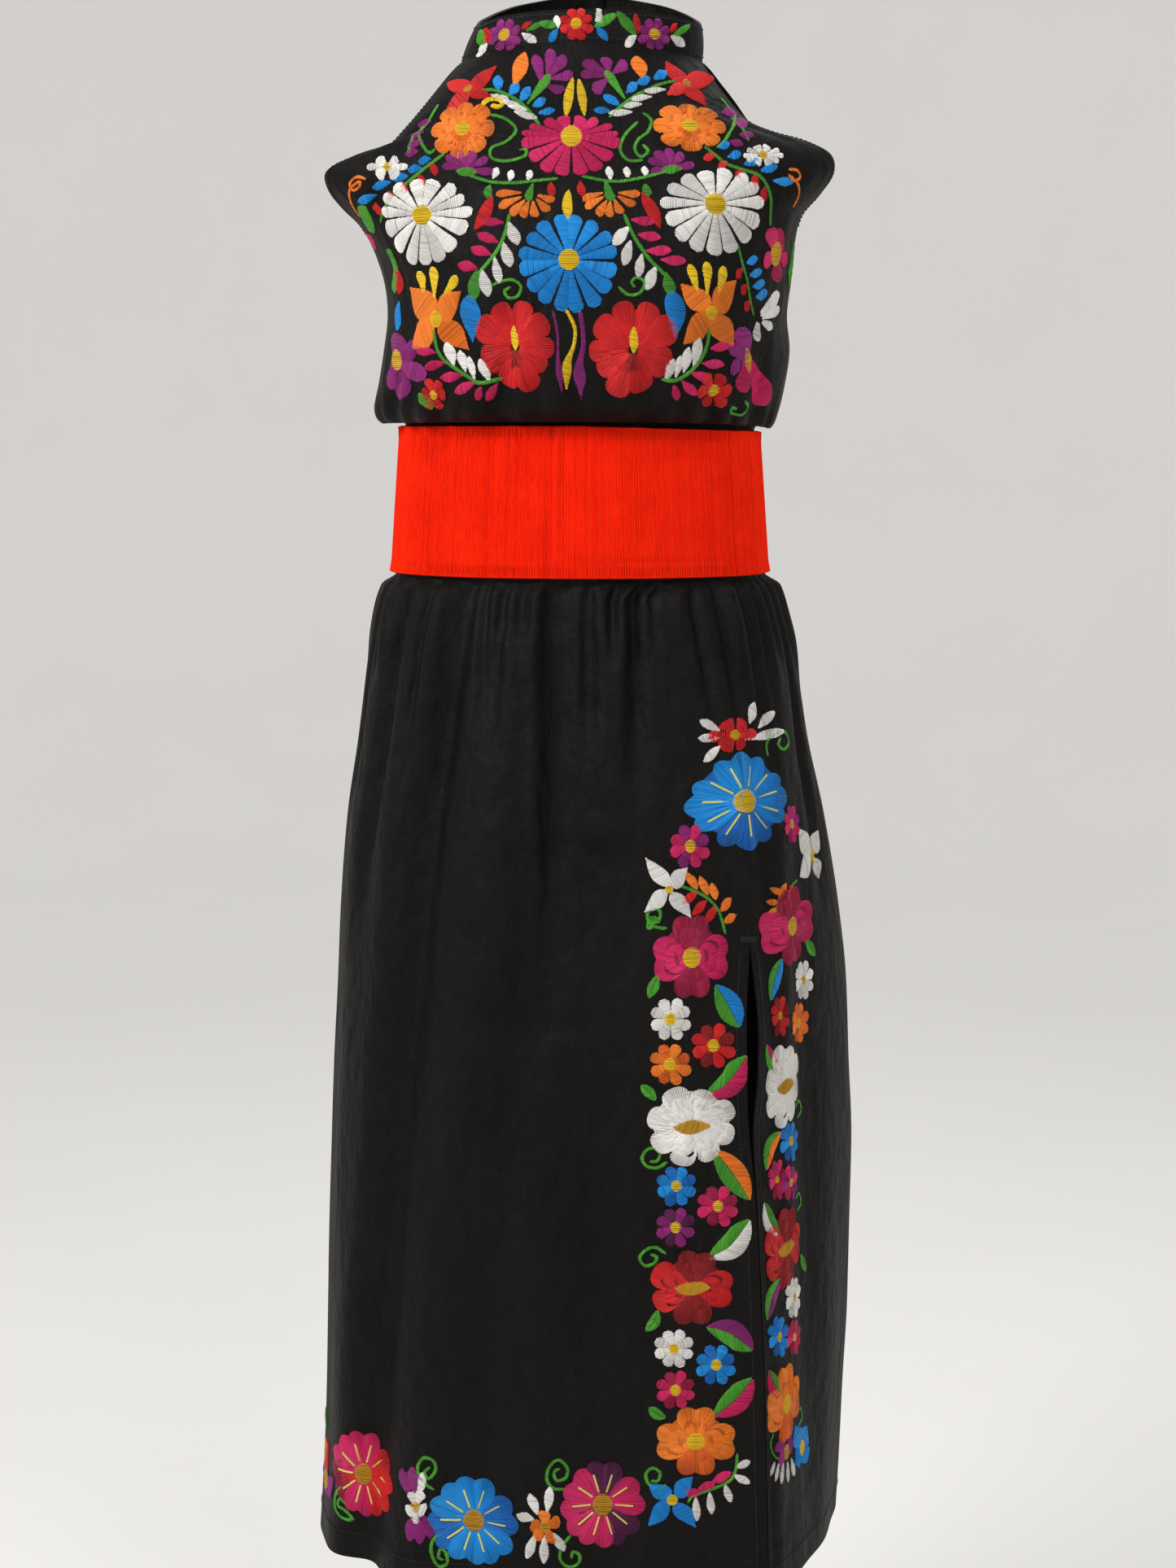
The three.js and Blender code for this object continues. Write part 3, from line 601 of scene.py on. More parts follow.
elastic, tree, inputs = material("orange_elastic")
place = tree.node("ShaderNodeTexCoord", {}, {}, out=3)
fuzz = place.stretched((1, 1, 0.12)).noise(900, 2.0).between(0.3, 0.7)
rib = tree.node("ShaderNodeAttribute", {"attribute_name": "tone"}, {}, out=2)
worn = place.noise(42, 3.0).between(0.35, 0.7)
knit = place.stretched((0.15, 0.15, 1)).noise(1500, 1.0)
shade = rib * 0.5 + fuzz * 0.3 + worn * 0.2
feed(
    tree,
    inputs,
    Base_Color=shade.colours((0.58, 0.006, 0.0006, 1), (0.96, 0.022, 0.0012, 1)),
    Roughness=0.95 - shade * 0.12,
    Specular_IOR_Level=0.08,
    Normal=knit.bumped(0.0002, fuzz.bumped(0.00035)),
)
# The band itself carries no tone, so it shows darker than the ribs laid over it: painted shade in the gaps
# between ribs.
belt = cloth("belt_band", [belt_grid], BELT_WALL, elastic)


def tubes(name, finish, radius, sides):
    """A node modifier that turns every line of a guide mesh into a thin round strand"""
    group = bpy.data.node_groups.new(name, "GeometryNodeTree")
    group.interface.new_socket("Guide lines", in_out="INPUT", socket_type="NodeSocketGeometry")
    group.interface.new_socket("Strand radius", in_out="INPUT", socket_type="NodeSocketFloat")
    group.interface.new_socket("Strands", in_out="OUTPUT", socket_type="NodeSocketGeometry")
    tree = Out(group)
    lines = tree.node("NodeGroupInput", {}, {})
    size = Out(group, lines.socket.node.outputs["Strand radius"])
    curves = tree.node("GeometryNodeMeshToCurve", {}, {"Mesh": lines})
    circle = {"Resolution": sides, "Radius": size}
    ring = tree.node("GeometryNodeCurvePrimitiveCircle", {"mode": "RADIUS"}, circle)
    strand = {"Curve": curves, "Profile Curve": ring, "Fill Caps": True}
    strands = tree.node("GeometryNodeCurveToMesh", {}, strand)
    smooth = tree.node("GeometryNodeSetShadeSmooth", {}, {"Geometry": strands})
    real = tree.node("GeometryNodeRealizeInstances", {}, {"Geometry": smooth})
    done = tree.node("GeometryNodeSetMaterial", {}, {"Geometry": real, "Material": finish})
    tree.node("NodeGroupOutput", {}, {"Strands": done})
    return group


def strands(name, lines, finish, radius, sides=4, tones=None):
    """Plain mesh of strands along lines of points, each with its own tone where it has one"""
    points = np.concatenate(lines)
    ends = np.cumsum([len(line) for line in lines])
    starts = np.arange(len(points) - 1)
    starts = starts[~np.isin(starts + 1, ends)]
    edges = np.stack([starts, starts + 1], axis=1).tolist()
    mesh = bpy.data.meshes.new(name + "_guide")
    mesh.from_pydata([tuple(p) for p in points], edges, [])
    if tones is not None:
        each = np.repeat(tones, [len(line) for line in lines])
        mesh.attributes.new("tone", "FLOAT", "POINT").data.foreach_set("value", each)
    guide = bpy.data.objects.new(name + "_guide", mesh)
    bpy.context.scene.collection.objects.link(guide)
    group = tubes(name, finish, radius, sides)
    spun = guide.modifiers.new("strands", "NODES")
    spun.node_group = group
    for socket in group.interface.items_tree:
        if socket.in_out == "INPUT" and socket.name == "Strand radius":
            spun[socket.identifier] = radius
    bpy.context.view_layer.update()
    seen = guide.evaluated_get(bpy.context.evaluated_depsgraph_get())
    plain = bpy.data.meshes.new_from_object(seen)
    made = bpy.data.objects.new(name, plain)
    bpy.context.scene.collection.objects.link(made)
    bpy.data.objects.remove(guide)
    return made


# The ribs lie side by side on the band, each a hair out of true
SEED = 11
RIB_SWAY = 0.00008
RIB_LIFT = 0.00004
chance = np.random.default_rng(SEED)
normals = normals_of(belt_grid)
round_length = lengths(belt_grid, 1)
rib_count = int(round_length[-1] / RIB_PITCH)
lines = []
for position in (np.arange(rib_count) + 0.5) * RIB_PITCH:
    sway = position + chance.normal(0, RIB_SWAY)
    column_place = np.interp(sway, round_length, np.arange(BELT_COLUMNS))
    before = int(column_place)
    part = column_place - before
    skin = belt_grid[:, before] * (1 - part) + belt_grid[:, min(before + 1, BELT_COLUMNS - 1)] * part
    lines.append((skin + normals[:, before] * RIB_LIFT)[::3])
shades = np.clip(chance.normal(0.78, 0.2, len(lines)), 0, 1)
ribs = strands("belt_ribs", lines, elastic, RIB_RADIUS, 4, shades)
for piece in (belt, ribs):
    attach(piece, "root")
    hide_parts("belt")

# Skirt: a gathered front, back and side panel of the cotton, open in a slit at the wearer's left. A row per
# level; the section runs from the slit's edge past the centre front, the wearer's right side and the back.
SKIRT = rows("""
z       slit_x slit_y front  left  back  right right_y turn_x turn_y
-320.1  80     -78.5  -97.5  -134  98.5  134   1       118    -46
-377    84     -78.5  -99    -138  99.5  138   1       122    -47
-385    87     -86    -106   -147  107   147   1       129    -52
-405    91     -92    -111   -154  113   154   3       136    -55
-440    98     -97    -116   -160  119   163   6       143    -59
-500    110    -103   -123   -168  127   173   11      150    -65
-560    119    -111   -129   -177  132   187   16      156    -73
-632    122    -123   -134   -183  136   200   20      160    -77
-690    120    -130   -137   -186  138   207   22      162    -80
-755    121    -135   -139   -190  140   210   23      163    -82
-820    127    -138   -140   -193  142   213   24      164    -84
-890    131    -140   -141   -196  144   212   24      165    -85
-955    134    -141   -141.5 -198  145   211   24      166    -86
-1020   136    -142   -142   -200  146   208   24      167    -87
-1080   138    -142   -142   -203  147   206   25      168    -88
-1125   139    -142   -142   -206  148   204   25      169    -89
""")
WAIST_ANGLES = (37.5, 0, -45, -90, -135, -180, -225, -270, -298, -322.5)
SLIT_OPEN = rows("""
z     open behind
-636  0.3  0
-655  4    0
-700  9.5  1
-735  8.5  2
-780  3    3
-820  1.2  4
-1125 1.2  5
""")
# The skirt's folds: at and to are places round the section at the fold's top and bottom, where 0 and 9 are
# the slit's edges, 1 the centre front, 3 the right side, 5 the centre back and 7 the left side. Most start
# just under the belt; the others say where.
FOLD_TOP = -376
SKIRT_FOLDS = rows("""
at    to    bottom depth width spread top
0.07  0.03  -530   -6.7  4.5   1.7
0.22  0.2   -425   2.9   4     1.4
0.41  0.4   -440   -4.9  3.8   1.4
0.55  0.66  -560   -8.7  5.5   1.9
0.64  0.72  -470   3.5   4     1.5
0.73  0.75  -450   -5.2  3.8   1.5
0.92  0.93  -520   -5.8  5     1.6
1.12  1.08  -800   -11.2 15    1.6
1.265 1.2   -700   6     4.6   1.8
1.365 1.36  -440   -4.6  3.6   1.4
1.36  1.86  -1125  6.2   20    1.5    -410
1.476 1.5   -520   -6.1  4.4   1.6
1.61  1.54  -500   -6.7  4     1.5
1.72  2.2   -1125  -8.8  10    1.9
1.9   1.95  -500   4.1   5     1.5
2.02  2.12  -560   -7    4.6   1.6
2.0   2.42  -1125  4     14    1.5    -380
2.29  2.44  -680   -9.3  6.5   1.8
2.5   2.5   -460   3.5   5     1.5
2.62  2.62  -470   -4.9  4.4   1.5
2.8   2.84  -600   -6.7  6.5   1.6
1.2   1.53  -1125  -4.2  15    1.4    -560
1.13  1.25  -1125  3.5   20    1.4    -700
0.85  0.84  -1125  -5.8  18    1.4    -560
0.4   0.42  -1125  2.5   22    1.2    -620
3.1   3.15  -470   3.5   5     1.5
3.3   3.4   -960   -7.5  10    1.8
3.52  3.5   -470   -4.6  4.4   1.5
3.75  3.7   -640   -7.2  7     1.7
3.95  3.95  -480   3.8   5     1.5
4.15  4.1   -1125  -8.8  13    1.7
4.33  4.3   -460   -4.6  4.2   1.5
4.5   4.55  -680   -7.2  7     1.7
4.66  4.66  -480   3.8   5     1.5
4.82  4.78  -1125  -8.8  14    1.7
5.02  5.0   -450   -4.3  4     1.5
5.2   5.24  -740   -6.2  7.5   1.7
5.38  5.38  -480   3.8   5     1.5
5.55  5.5   -1125  -8.8  13    1.7
5.75  5.74  -460   -4.6  4.2   1.5
5.95  6.0   -640   -7.2  7     1.7
6.15  6.15  -480   3.8   5     1.5
6.35  6.3   -1040  -7.5  11    1.7
6.55  6.55  -470   -4.6  4.4   1.5
6.75  6.7   -660   -5.8  7     1.7
7.0   7.0   -470   3.5   5     1.5
7.2   7.22  -480   -4.6  4.6   1.5
7.5   7.55  -660   -7.2  6     1.8
7.8   7.8   -460   -4.3  4.2   1.4
8.05  8.1   -500   -4.9  4.4   1.5
8.3   8.32  -560   -5.8  5     1.6
8.5   8.5   -440   3.2   4     1.4
8.72  8.74  -520   -4.9  4.2   1.6
""")
# Creases pressed or folded into the skirt: from a place and level to another, in millimetres
SKIRT_CREASES = rows("""
from_place from_z to_place to_z  depth width
1.38       -551   1.58     -553  1.6   3
1.36       -661   1.62     -648  1.3   4
1.5        -700   1.9      -690  -0.9  7
0.7        -818   1.02     -826  0.9   5
1.6        -905   2.2      -890  -1    8
0.72       -958   1.1      -968  0.8   9
1.1        -1010  1.7      -1000 -0.8  8
2.1        -620   2.6      -600  -1    8
3.2        -700   3.7      -715  -1    8
4.4        -830   5        -815  -1    8
5.2        -960   5.8      -975  0.9   7
6.2        -640   6.7      -655  -1    8
7.2        -560   7.7      -580  -1    7
8.3        -620   8.8      -610  -0.8  6
""")
SKIRT_HEM = -1125
SLIT_TOP = -636
SKIRT_PANELS = {"front": (0, 3, 160), "back": (3, 7, 131), "side_front": (7, 9, 70)}
# Levels of the mesh, closest where the gathers are tightest: from a height, how many to the next one
LEVELS = ((-320.1, 3), (FOLD_TOP, 7), (-392, 37), (-520, 19), (SLIT_TOP, 73), (SKIRT_HEM, 0))
heights = [np.linspace(top, low, steps + 1)[:-1] for (top, steps), (low, _) in zip(LEVELS, LEVELS[1:])]
heights = np.concatenate([*heights, [SKIRT_HEM]])


def skirt_line(section, places):
    """The skirt's section as x and y, before its folds"""
    front, back, left, right = (section[name] for name in ("front", "back", "left", "right"))
    near = 1 - places
    slit_part = np.stack([section["slit_x"] * near, front + (section["slit_y"] - front) * near**2], axis=1)
    turn = (places - 1) * math.pi / 4
    width = np.where(places <= 5, -left, right)
    depth = np.where(places <= 3, -front, back)
    centre = np.where(places <= 3, 0, section["right_y"] * (1 - np.sin(turn)) * 0.5)
    oval = np.stack([-width * np.sin(turn), centre - (depth - centre) * np.cos(turn)], axis=1)
    edge = (section["slit_x"] + section["open"], section["slit_y"] + section["behind"])
    turn_x, turn_y = section["turn_x"], section["turn_y"]
    corners = [
        (turn_x, 2 * section["right_y"] - turn_y),
        (right, section["right_y"]),
        (turn_x, turn_y),
        edge,
        (edge[0] - (turn_x - edge[0]) * 0.7, edge[1] + (edge[1] - turn_y) * 0.7),
    ]
    side = through(corners, places - 6)
    return np.where((places <= 1)[:, None], slit_part, np.where((places <= 7)[:, None], oval, side))


def skirt_level(places, z):
    """One level of the skirt with its folds, in metres"""
    section = {name: column(SKIRT, "z", name, z) for name in SKIRT[0] if name != "z"}
    section["open"] = SEAM_GAP / MM if z > SLIT_TOP else column(SLIT_OPEN, "z", "open", z)
    section["behind"] = 0 if z > SLIT_TOP else column(SLIT_OPEN, "z", "behind", z)
    loose = ease((-377 - z) / 14)

    def on(at):
        angle = np.radians(through(np.array(WAIST_ANGLES)[:, None], at)[:, 0])
        x = np.where(np.sin(angle) < 0, -section["left"], section["right"]) * np.sin(angle)
        y = np.where(np.cos(angle) > 0, section["front"], -section["back"]) * np.cos(angle)
        ring = np.stack([x + np.where(at == 9, section["open"], 0), y], axis=1)
        return ring + (skirt_line(section, at) - ring) * loose

    here = on(places)
    before, after = np.maximum(0, places - 0.02), np.minimum(9, places + 0.02)
    along = on(after) - on(before)
    span = np.linalg.norm(along, axis=1, keepdims=True)
    speed = span[:, 0] / (after - before)
    out = np.stack([-along[:, 1], along[:, 0]], axis=1) / span
    push = np.zeros(len(places))
    for fold in SKIRT_FOLDS:
        top = fold.get("top", FOLD_TOP)
        down = (top - z) / (top - fold["bottom"])
        held = min(max(down, 0), 1)
        centre = fold["at"] + (fold["to"] - fold["at"]) * held
        start = ease((top + 2 - z) / 12)
        end = 1 if fold["bottom"] <= SKIRT_HEM else 1 - ease((down - 0.45) / 0.55)
        width = fold["width"] * (1 + (fold["spread"] - 1) * held)
        push += fold["depth"] * start * end * bump((places - centre) * speed, width)
    for line in SKIRT_CREASES:
        x = (places - line["from_place"]) * speed
        long = np.hypot((line["to_place"] - line["from_place"]) * speed, line["to_z"] - line["from_z"])
        drop = z - line["from_z"]
        rise = line["to_z"] - line["from_z"]
        run = (line["to_place"] - line["from_place"]) * speed
        t = np.clip((x * run + drop * rise) / long**2, 0, 1)
        away = np.hypot(x - t * run, drop - t * rise)
        push += line["depth"] * np.sin(np.pi * np.clip(t, 0.03, 0.97)) * bump(away, line["width"])
    ripple = 1.1 * np.sin(places * 7.3 + 0.004 * z) + 0.7 * np.sin(places * 11 + 1.3 - 0.005 * z)
    push += ripple * ease((-420 - z) / 200)
    push *= ease(np.minimum(places, 9 - places) / 0.12)
    return np.stack([*(here + out * push[:, None]).T, np.full(len(places), z)], axis=1) * MM


skirt_grids = {}
for name, (start, end, count) in SKIRT_PANELS.items():
    places = np.linspace(start, end, count)
    grid = np.array([skirt_level(places, z) for z in heights[::-1]])
    if name != "front":
        grid[:, 0, 1] += SEAM_GAP if name == "back" else -SEAM_GAP
    skirt_grids[name] = grid[:, ::-1]
    panel = cloth("skirt_" + name + "_cloth", [skirt_grids[name]], CLOTH_WALL, cotton)
    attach(panel, "root")
    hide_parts("skirt_" + name)

# Embroidery: satin stitch worked by machine through the cloth, a coloured rayon or cotton thread for each
# part of a flower. Stitches lie side by side across each petal, and each petal differs a little in shade.
THREADS = rows("""
name    red green blue
blue    0   142   222
navy    0   108   194
pink    214 22    98
cherry  160 8     62
purple  146 24    118
plum    92  10    72
red     216 20    24
crimson 146 6     16
orange  246 130   28
rust    222 98    16
green   74  160   38
yellow  244 204   22
gold    204 152   22
lemon   226 218   110
white   236 233   228
black   20  17    17
""")
STITCH_RADIUS = 0.00053
STITCH_PITCH = 0.00094
STITCH_SHORTEST = 0.0004
STITCH_LONG = 0.009
LOOSE_SHARE = 0.22
STITCH_NARROWEST = 0.00025
MIDRIB_GAP = 0.0002
SEARCH_FROM = 0.03
SEARCH_DEPTH = 0.07
FACING_LEAST = 0.4
HIDDEN_PIXEL = 0.00057
LOWEST = 0.00015
ON_CLOTH = 0.0001
stitches = {thread["name"]: [] for thread in THREADS}
tones = {thread["name"]: [] for thread in THREADS}
outer_points, outer_faces = [], []
for grid in [front_grid, collar_grid, *skirt_grids.values()]:
    outer_faces.extend((cells_of(*grid.shape[:2]) + len(outer_points)).tolist())
    outer_points.extend(grid.reshape(-1, 3).tolist())
outer_cloth = BVHTree.FromPolygons([Vector(p) for p in outer_points], outer_faces)
view_down = np.array([0, math.cos(CAMERA_TILT), -math.sin(CAMERA_TILT)])
view_up = np.array([0, math.sin(CAMERA_TILT), math.cos(CAMERA_TILT)])


def sight(x, y):
    """Direction from the camera through a place in the photograph"""
    across = (x - PICTURE[0] / 2) / PICTURE_FOCUS
    down = (y - PICTURE[1] / 2) / PICTURE_FOCUS
    direction = view_down + np.array([across, 0, 0]) - view_up * down
    return direction / np.linalg.norm(direction)


class Hoop:
    """A flat patch against the cloth under one motif; u runs to the viewer's right and v upwards"""

    def __init__(self, x, y, eye=CAMERA_PLACE, aim=None):
        self.eye = np.array(eye)
        self.seen = aim is None
        self.middle = (x, y)
        found = None
        while found is None:
            direction = sight(x, y) if self.seen else np.array(aim)
            found, out, _, _ = outer_cloth.ray_cast(Vector(self.eye), Vector(direction))
            x += 3 if x < PICTURE[0] / 2 else -3
        self.centre = np.array(found)
        out = np.array(out)
        facing = -out @ direction
        if facing < FACING_LEAST:
            out = out - direction * (FACING_LEAST - facing)
            out /= np.linalg.norm(out)
        self.out = out
        right = np.cross([0, 0, 1], out)
        self.right = right / np.linalg.norm(right)
        self.up = np.cross(out, self.right)
        seen_pixel = abs((self.centre - self.eye) @ view_down) / PICTURE_FOCUS
        self.pixel = seen_pixel if self.seen else HIDDEN_PIXEL

    def at(self, place):
        """A place in the photograph, as u and v on the patch"""
        if not self.seen:
            return np.array([place[0] - self.middle[0], self.middle[1] - place[1]]) * self.pixel
        direction = sight(*place)
        t = (self.centre - self.eye) @ self.out / (direction @ self.out)
        away = self.eye + direction * t - self.centre
        return np.array([away @ self.right, away @ self.up])

    def lay(self, spot, lift):
        """A point of the patch dropped on the cloth, and lifted off it by the thread under it"""
        flat = self.centre + self.right * spot[0] + self.up * spot[1]
        above = Vector(flat + self.out * SEARCH_FROM)
        found, out, _, _ = outer_cloth.ray_cast(above, Vector(-self.out), SEARCH_DEPTH)
        if found is None or np.dot(out, self.out) < 0.1:
            found, out, _, _ = outer_cloth.find_nearest(Vector(flat))
            out = Vector(self.out) if np.dot(out, self.out) < 0 else out
        return np.array(found) + np.array(out) * lift


def stitch(hoop, thread, start, end, lift, pad, tone):
    """One stitch from start to end, raised by the padding between; some lie loose and flatter, their tone
    darkened as painted shade
    """
    start, end = np.asarray(start), np.asarray(end)
    long = np.linalg.norm(end - start)
    if long < STITCH_SHORTEST:
        return
    shares, raise_by = (0, 0.2, 0.8, 1), (0, 0.8, 0.8, 0)
    if long >= STITCH_LONG:
        shares, raise_by = (0, 0.12, 0.5, 0.88, 1), (0, 0.75, 1, 0.75, 0)
    loose = chance.random() < LOOSE_SHARE
    pad = pad * (0.7 if loose else 1) + chance.normal(0, 0.00006)
    line = [hoop.lay(start + (end - start) * s, lift + pad * r) for s, r in zip(shares, raise_by)]
    stitches[thread].append(np.array(line))
    # A loose stitch's tone is lowered: painted shade for a stitch lying lower than its neighbours.
    tones[thread].append(float(np.clip(tone + chance.normal(0, 0.14) - 0.38 * loose, 0, 1)))


# Shapes with a round tip: half width at the root and at the widest, where that is, and how long the tip is
ROUND_TIPS = {
    "wedge": (0.22, 1, 0.84, 0.165),
    "petal": (0.34, 1, 0.66, 0.345),
    "bud": (0.12, 0.84, 0.72, 0.285),
}
# Shapes pointed at both ends: how far the belly leans to the tip, and how blunt the ends are
POINTED = {"blade": (0.66, 0.8), "drop": (1.35, 0.75), "star": (0.72, 1.1), "leaf": (1, 0.8)}


def outline(kind, t):
    """Half width of a stitched shape along it, as a share of its widest"""
    t = np.clip(t, 0, 1)
    if kind in ROUND_TIPS:
        root, full, widest, tip = ROUND_TIPS[kind]
        body = (root + (full - root) * t / widest) * (t < widest)
        return body + full * np.sqrt(np.maximum(0, 1 - ((t - widest) / tip) ** 2)) * (t >= widest)
    if kind in POINTED:
        lean, blunt = POINTED[kind]
        return np.sin(math.pi * t**lean) ** blunt
    if kind == "ribbon":
        tail = 0.34 * np.minimum(1, t / 0.05) * (t < 0.95)
        narrowing = 0.34 * np.maximum(0, t - 0.82) * 5 * (t < 0.95)
        return tail + 0.66 * bump(t - 0.72, 0.14) - narrowing
    if kind == "block":
        return 0.55 + 0.45 * t
    return np.minimum(1, np.minimum(t, 1 - t) / 0.06 + 0.35)


def satin(hoop, thread, spine, kind, half_width, lift=ON_CLOTH, pad=0.0007, slant=0, side=0, tone=0.6):
    """Stitches side by side across a spine of places on the patch; side works one half of it only"""
    spine = np.asarray(spine)
    if len(spine) > 2:
        spine = through(spine, np.linspace(0, len(spine) - 1, 12 * len(spine)))
    run = run_of(spine)
    lean = math.radians(slant)
    count = max(3, int(run[-1] / STITCH_PITCH))
    for t in (np.arange(count) + 0.5) / count:
        here = spot_on(spine, run, t * run[-1])
        ahead = spot_on(spine, run, min(t + 0.04, 1) * run[-1])
        behind = spot_on(spine, run, max(t - 0.04, 0) * run[-1])
        along = (ahead - behind) / max(np.linalg.norm(ahead - behind), 1e-9)
        square = np.array([-along[1], along[0]]) * (side or 1)
        wide = half_width * float(outline(kind, t)) + chance.normal(0, 0.00012)
        if wide < STITCH_NARROWEST:
            continue
        reach = (square * math.cos(lean) + along * math.sin(lean)) * wide
        start = here + square * MIDRIB_GAP if side else here - reach
        stitch(hoop, thread, start, here + reach, lift, min(pad, wide * 0.45), tone)


def disc(hoop, thread, middle, radius, lift, pad, flat=1.0):
    """A round or oval centre filled with level stitches"""
    count = max(3, int(2 * radius * flat / STITCH_PITCH))
    for t in (np.arange(count) + 0.5) / count * 2 - 1:
        half = radius * math.sqrt(1 - t * t) + chance.normal(0, 0.0001)
        level = np.array([0, t * radius * flat])
        stitch(hoop, thread, middle + level - [half, 0], middle + level + [half, 0], lift, pad, 0.62)


def stretch_of(hoop, middle, step):
    """How long a step in the photograph, up or across from a flower's middle, is on the cloth"""
    return np.linalg.norm(hoop.at(middle + step))


def lobe(hoop, petal, middle, size, tone):
    """A wide scalloped petal in rows of short stitches; angles are clockwise from the top, in degrees"""
    from_angle, to_angle = petal["middle"] - petal["span"] / 2, petal["middle"] + petal["span"] / 2
    reach, inner, scallops, bands = petal["reach"], petal["inner"], petal["scallops"], int(petal["bands"])
    lift = LOWEST + petal["lift"] * MM
    arc = math.radians(to_angle - from_angle) * float(np.mean(np.abs(size))) * reach
    count = max(6, int(arc * 0.8 / STITCH_PITCH))
    cuts = np.linspace(0, 1, bands + 1)
    for s in (np.arange(count) + 0.5) / count:
        angle = math.radians(from_angle + (to_angle - from_angle) * s)
        edge = (1 - abs(2 * s - 1) ** 2.8) ** 0.5
        scallop = 1 - 0.13 * (1 - abs(math.sin(math.pi * scallops * s))) if scallops > 1 else 1
        tip = inner + (reach * scallop - inner) * (0.56 + 0.44 * edge)
        ray = np.array([math.sin(angle), math.cos(angle)]) * size
        drift = np.array([math.cos(angle), -math.sin(angle)]) * size
        for low, high in zip(cuts[:-1], cuts[1:]):
            wave = 0.05 * math.sin(9 * s + 5 * high)
            start = middle + ray * (inner + (tip - inner) * (low + (wave if low > 0 else 0)))
            end = middle + ray * (inner + (tip - inner) * min(1, high + (wave if high < 1 else 0)))
            start = start - drift * 0.02 * bands * low
            stitch(hoop, petal["thread"], start, end, lift, 0.00055, tone - 0.12 * (high < 0.4))


# Daisies, from small ones on the collar and skirt to big ones on the bust: narrow petals round a yellow
# centre. The second thread works every third petal. Places and radii are as the photograph shows them.
DAISIES = rows("""
thread second x   y    wide up down petals core
pink   pink   702 168  60   24 49   16     13
white  white  519 264  54   44 62   15     12
white  white  879 251  62   45 60   15     13
blue   blue   699 319  60   55 66   16     13
purple purple 620 43   20   20 20   8      7
red    red    708 29   21   19 20   8      7
purple purple 804 42   20   20 20   8      7
white  white  476 205  25   12 15   6      5
white  white  937 191  24   12 12   10     5
red    red    533 485  16   20 20   6      6
red    red    876 479  21   22 22   6      7
red    red     903 903 20   20 20   6      6
pink   purple 848 1040 25   28 28   8      8
white  white  824 1252 26   26 27   8      8
red    crimson 876 1285 27  28 28   8      8
orange rust   823 1308 26   26 26   8      8
blue   navy   831 1457 25   25 26   8      7
pink   cherry 882 1482 26   26 26   8      7
purple plum   830 1508 24   24 25   8      7
white  white  828 1657 25   24 24   8      7
blue   navy   880 1677 25   25 25   8      7
pink   cherry 830 1708 24   24 24   8      7
white  white  986 1204 12   24 25   8      6
red    crimson 958 1248 12  26 26   8      6
orange rust   980 1257 11   25 25   8      6
blue   navy   971 1402 10   24 25   8      6
pink   cherry 954 1449 11   26 27   8      6
purple pink   971 1453 10   22 22   8      5
white  white  975 1594 10   26 27   8      6
blue   navy   957 1643 11   26 26   8      6
pink   cherry 975 1643 10   22 22   8      5
pink   purple 972 1013 9    24 24   8      6
white  white  511 1851 12   22 22   5      5
""")


def rim_of(row, turn, high):
    """From a daisy's middle to its rim, in the photograph's own pixels"""
    return np.array([math.sin(turn) * row["wide"], -math.cos(turn) * high])


for row in DAISIES:
    hoop = Hoop(row["x"], row["y"])
    middle = np.array([row["x"], row["y"]])
    count = int(row["petals"])
    for index in range(count):
        turn = 2 * math.pi * (index + 0.5) / count + chance.normal(0, 0.025)
        high = row["up"] if math.cos(turn) > 0 else row["down"]
        reach = rim_of(row, turn, high) * (1 + chance.normal(0, 0.025))
        tip, root = hoop.at(middle + reach), hoop.at(middle + reach * 0.2)
        beside = hoop.at(middle + rim_of(row, turn + 0.1, high))
        spread = abs(np.cross(tip / np.linalg.norm(tip), beside)) * 10
        half_width = spread * math.pi / count * 0.68 + 0.0001
        half_width *= 1.12 if count > 9 else 1
        thread = row["second"] if index % 3 == 1 else row["thread"]
        kind = "wedge" if count > 9 else "petal"
        tone = 0.62 + 0.12 * (index % 2)
        satin(hoop, thread, [root, tip], kind, half_width, LOWEST, pad=0.0008, slant=4, tone=tone)
    pixel = stretch_of(hoop, middle, [1, 0])
    flat = stretch_of(hoop, middle, [0, -1]) / max(pixel, 1e-9)
    wide = min(1.0, 2 * row["wide"] / (row["up"] + row["down"]))
    radius = row["core"] * wide * pixel
    disc(hoop, "yellow", hoop.at(middle), radius, 0.0005, 0.0006, min(flat / wide, 1.2))

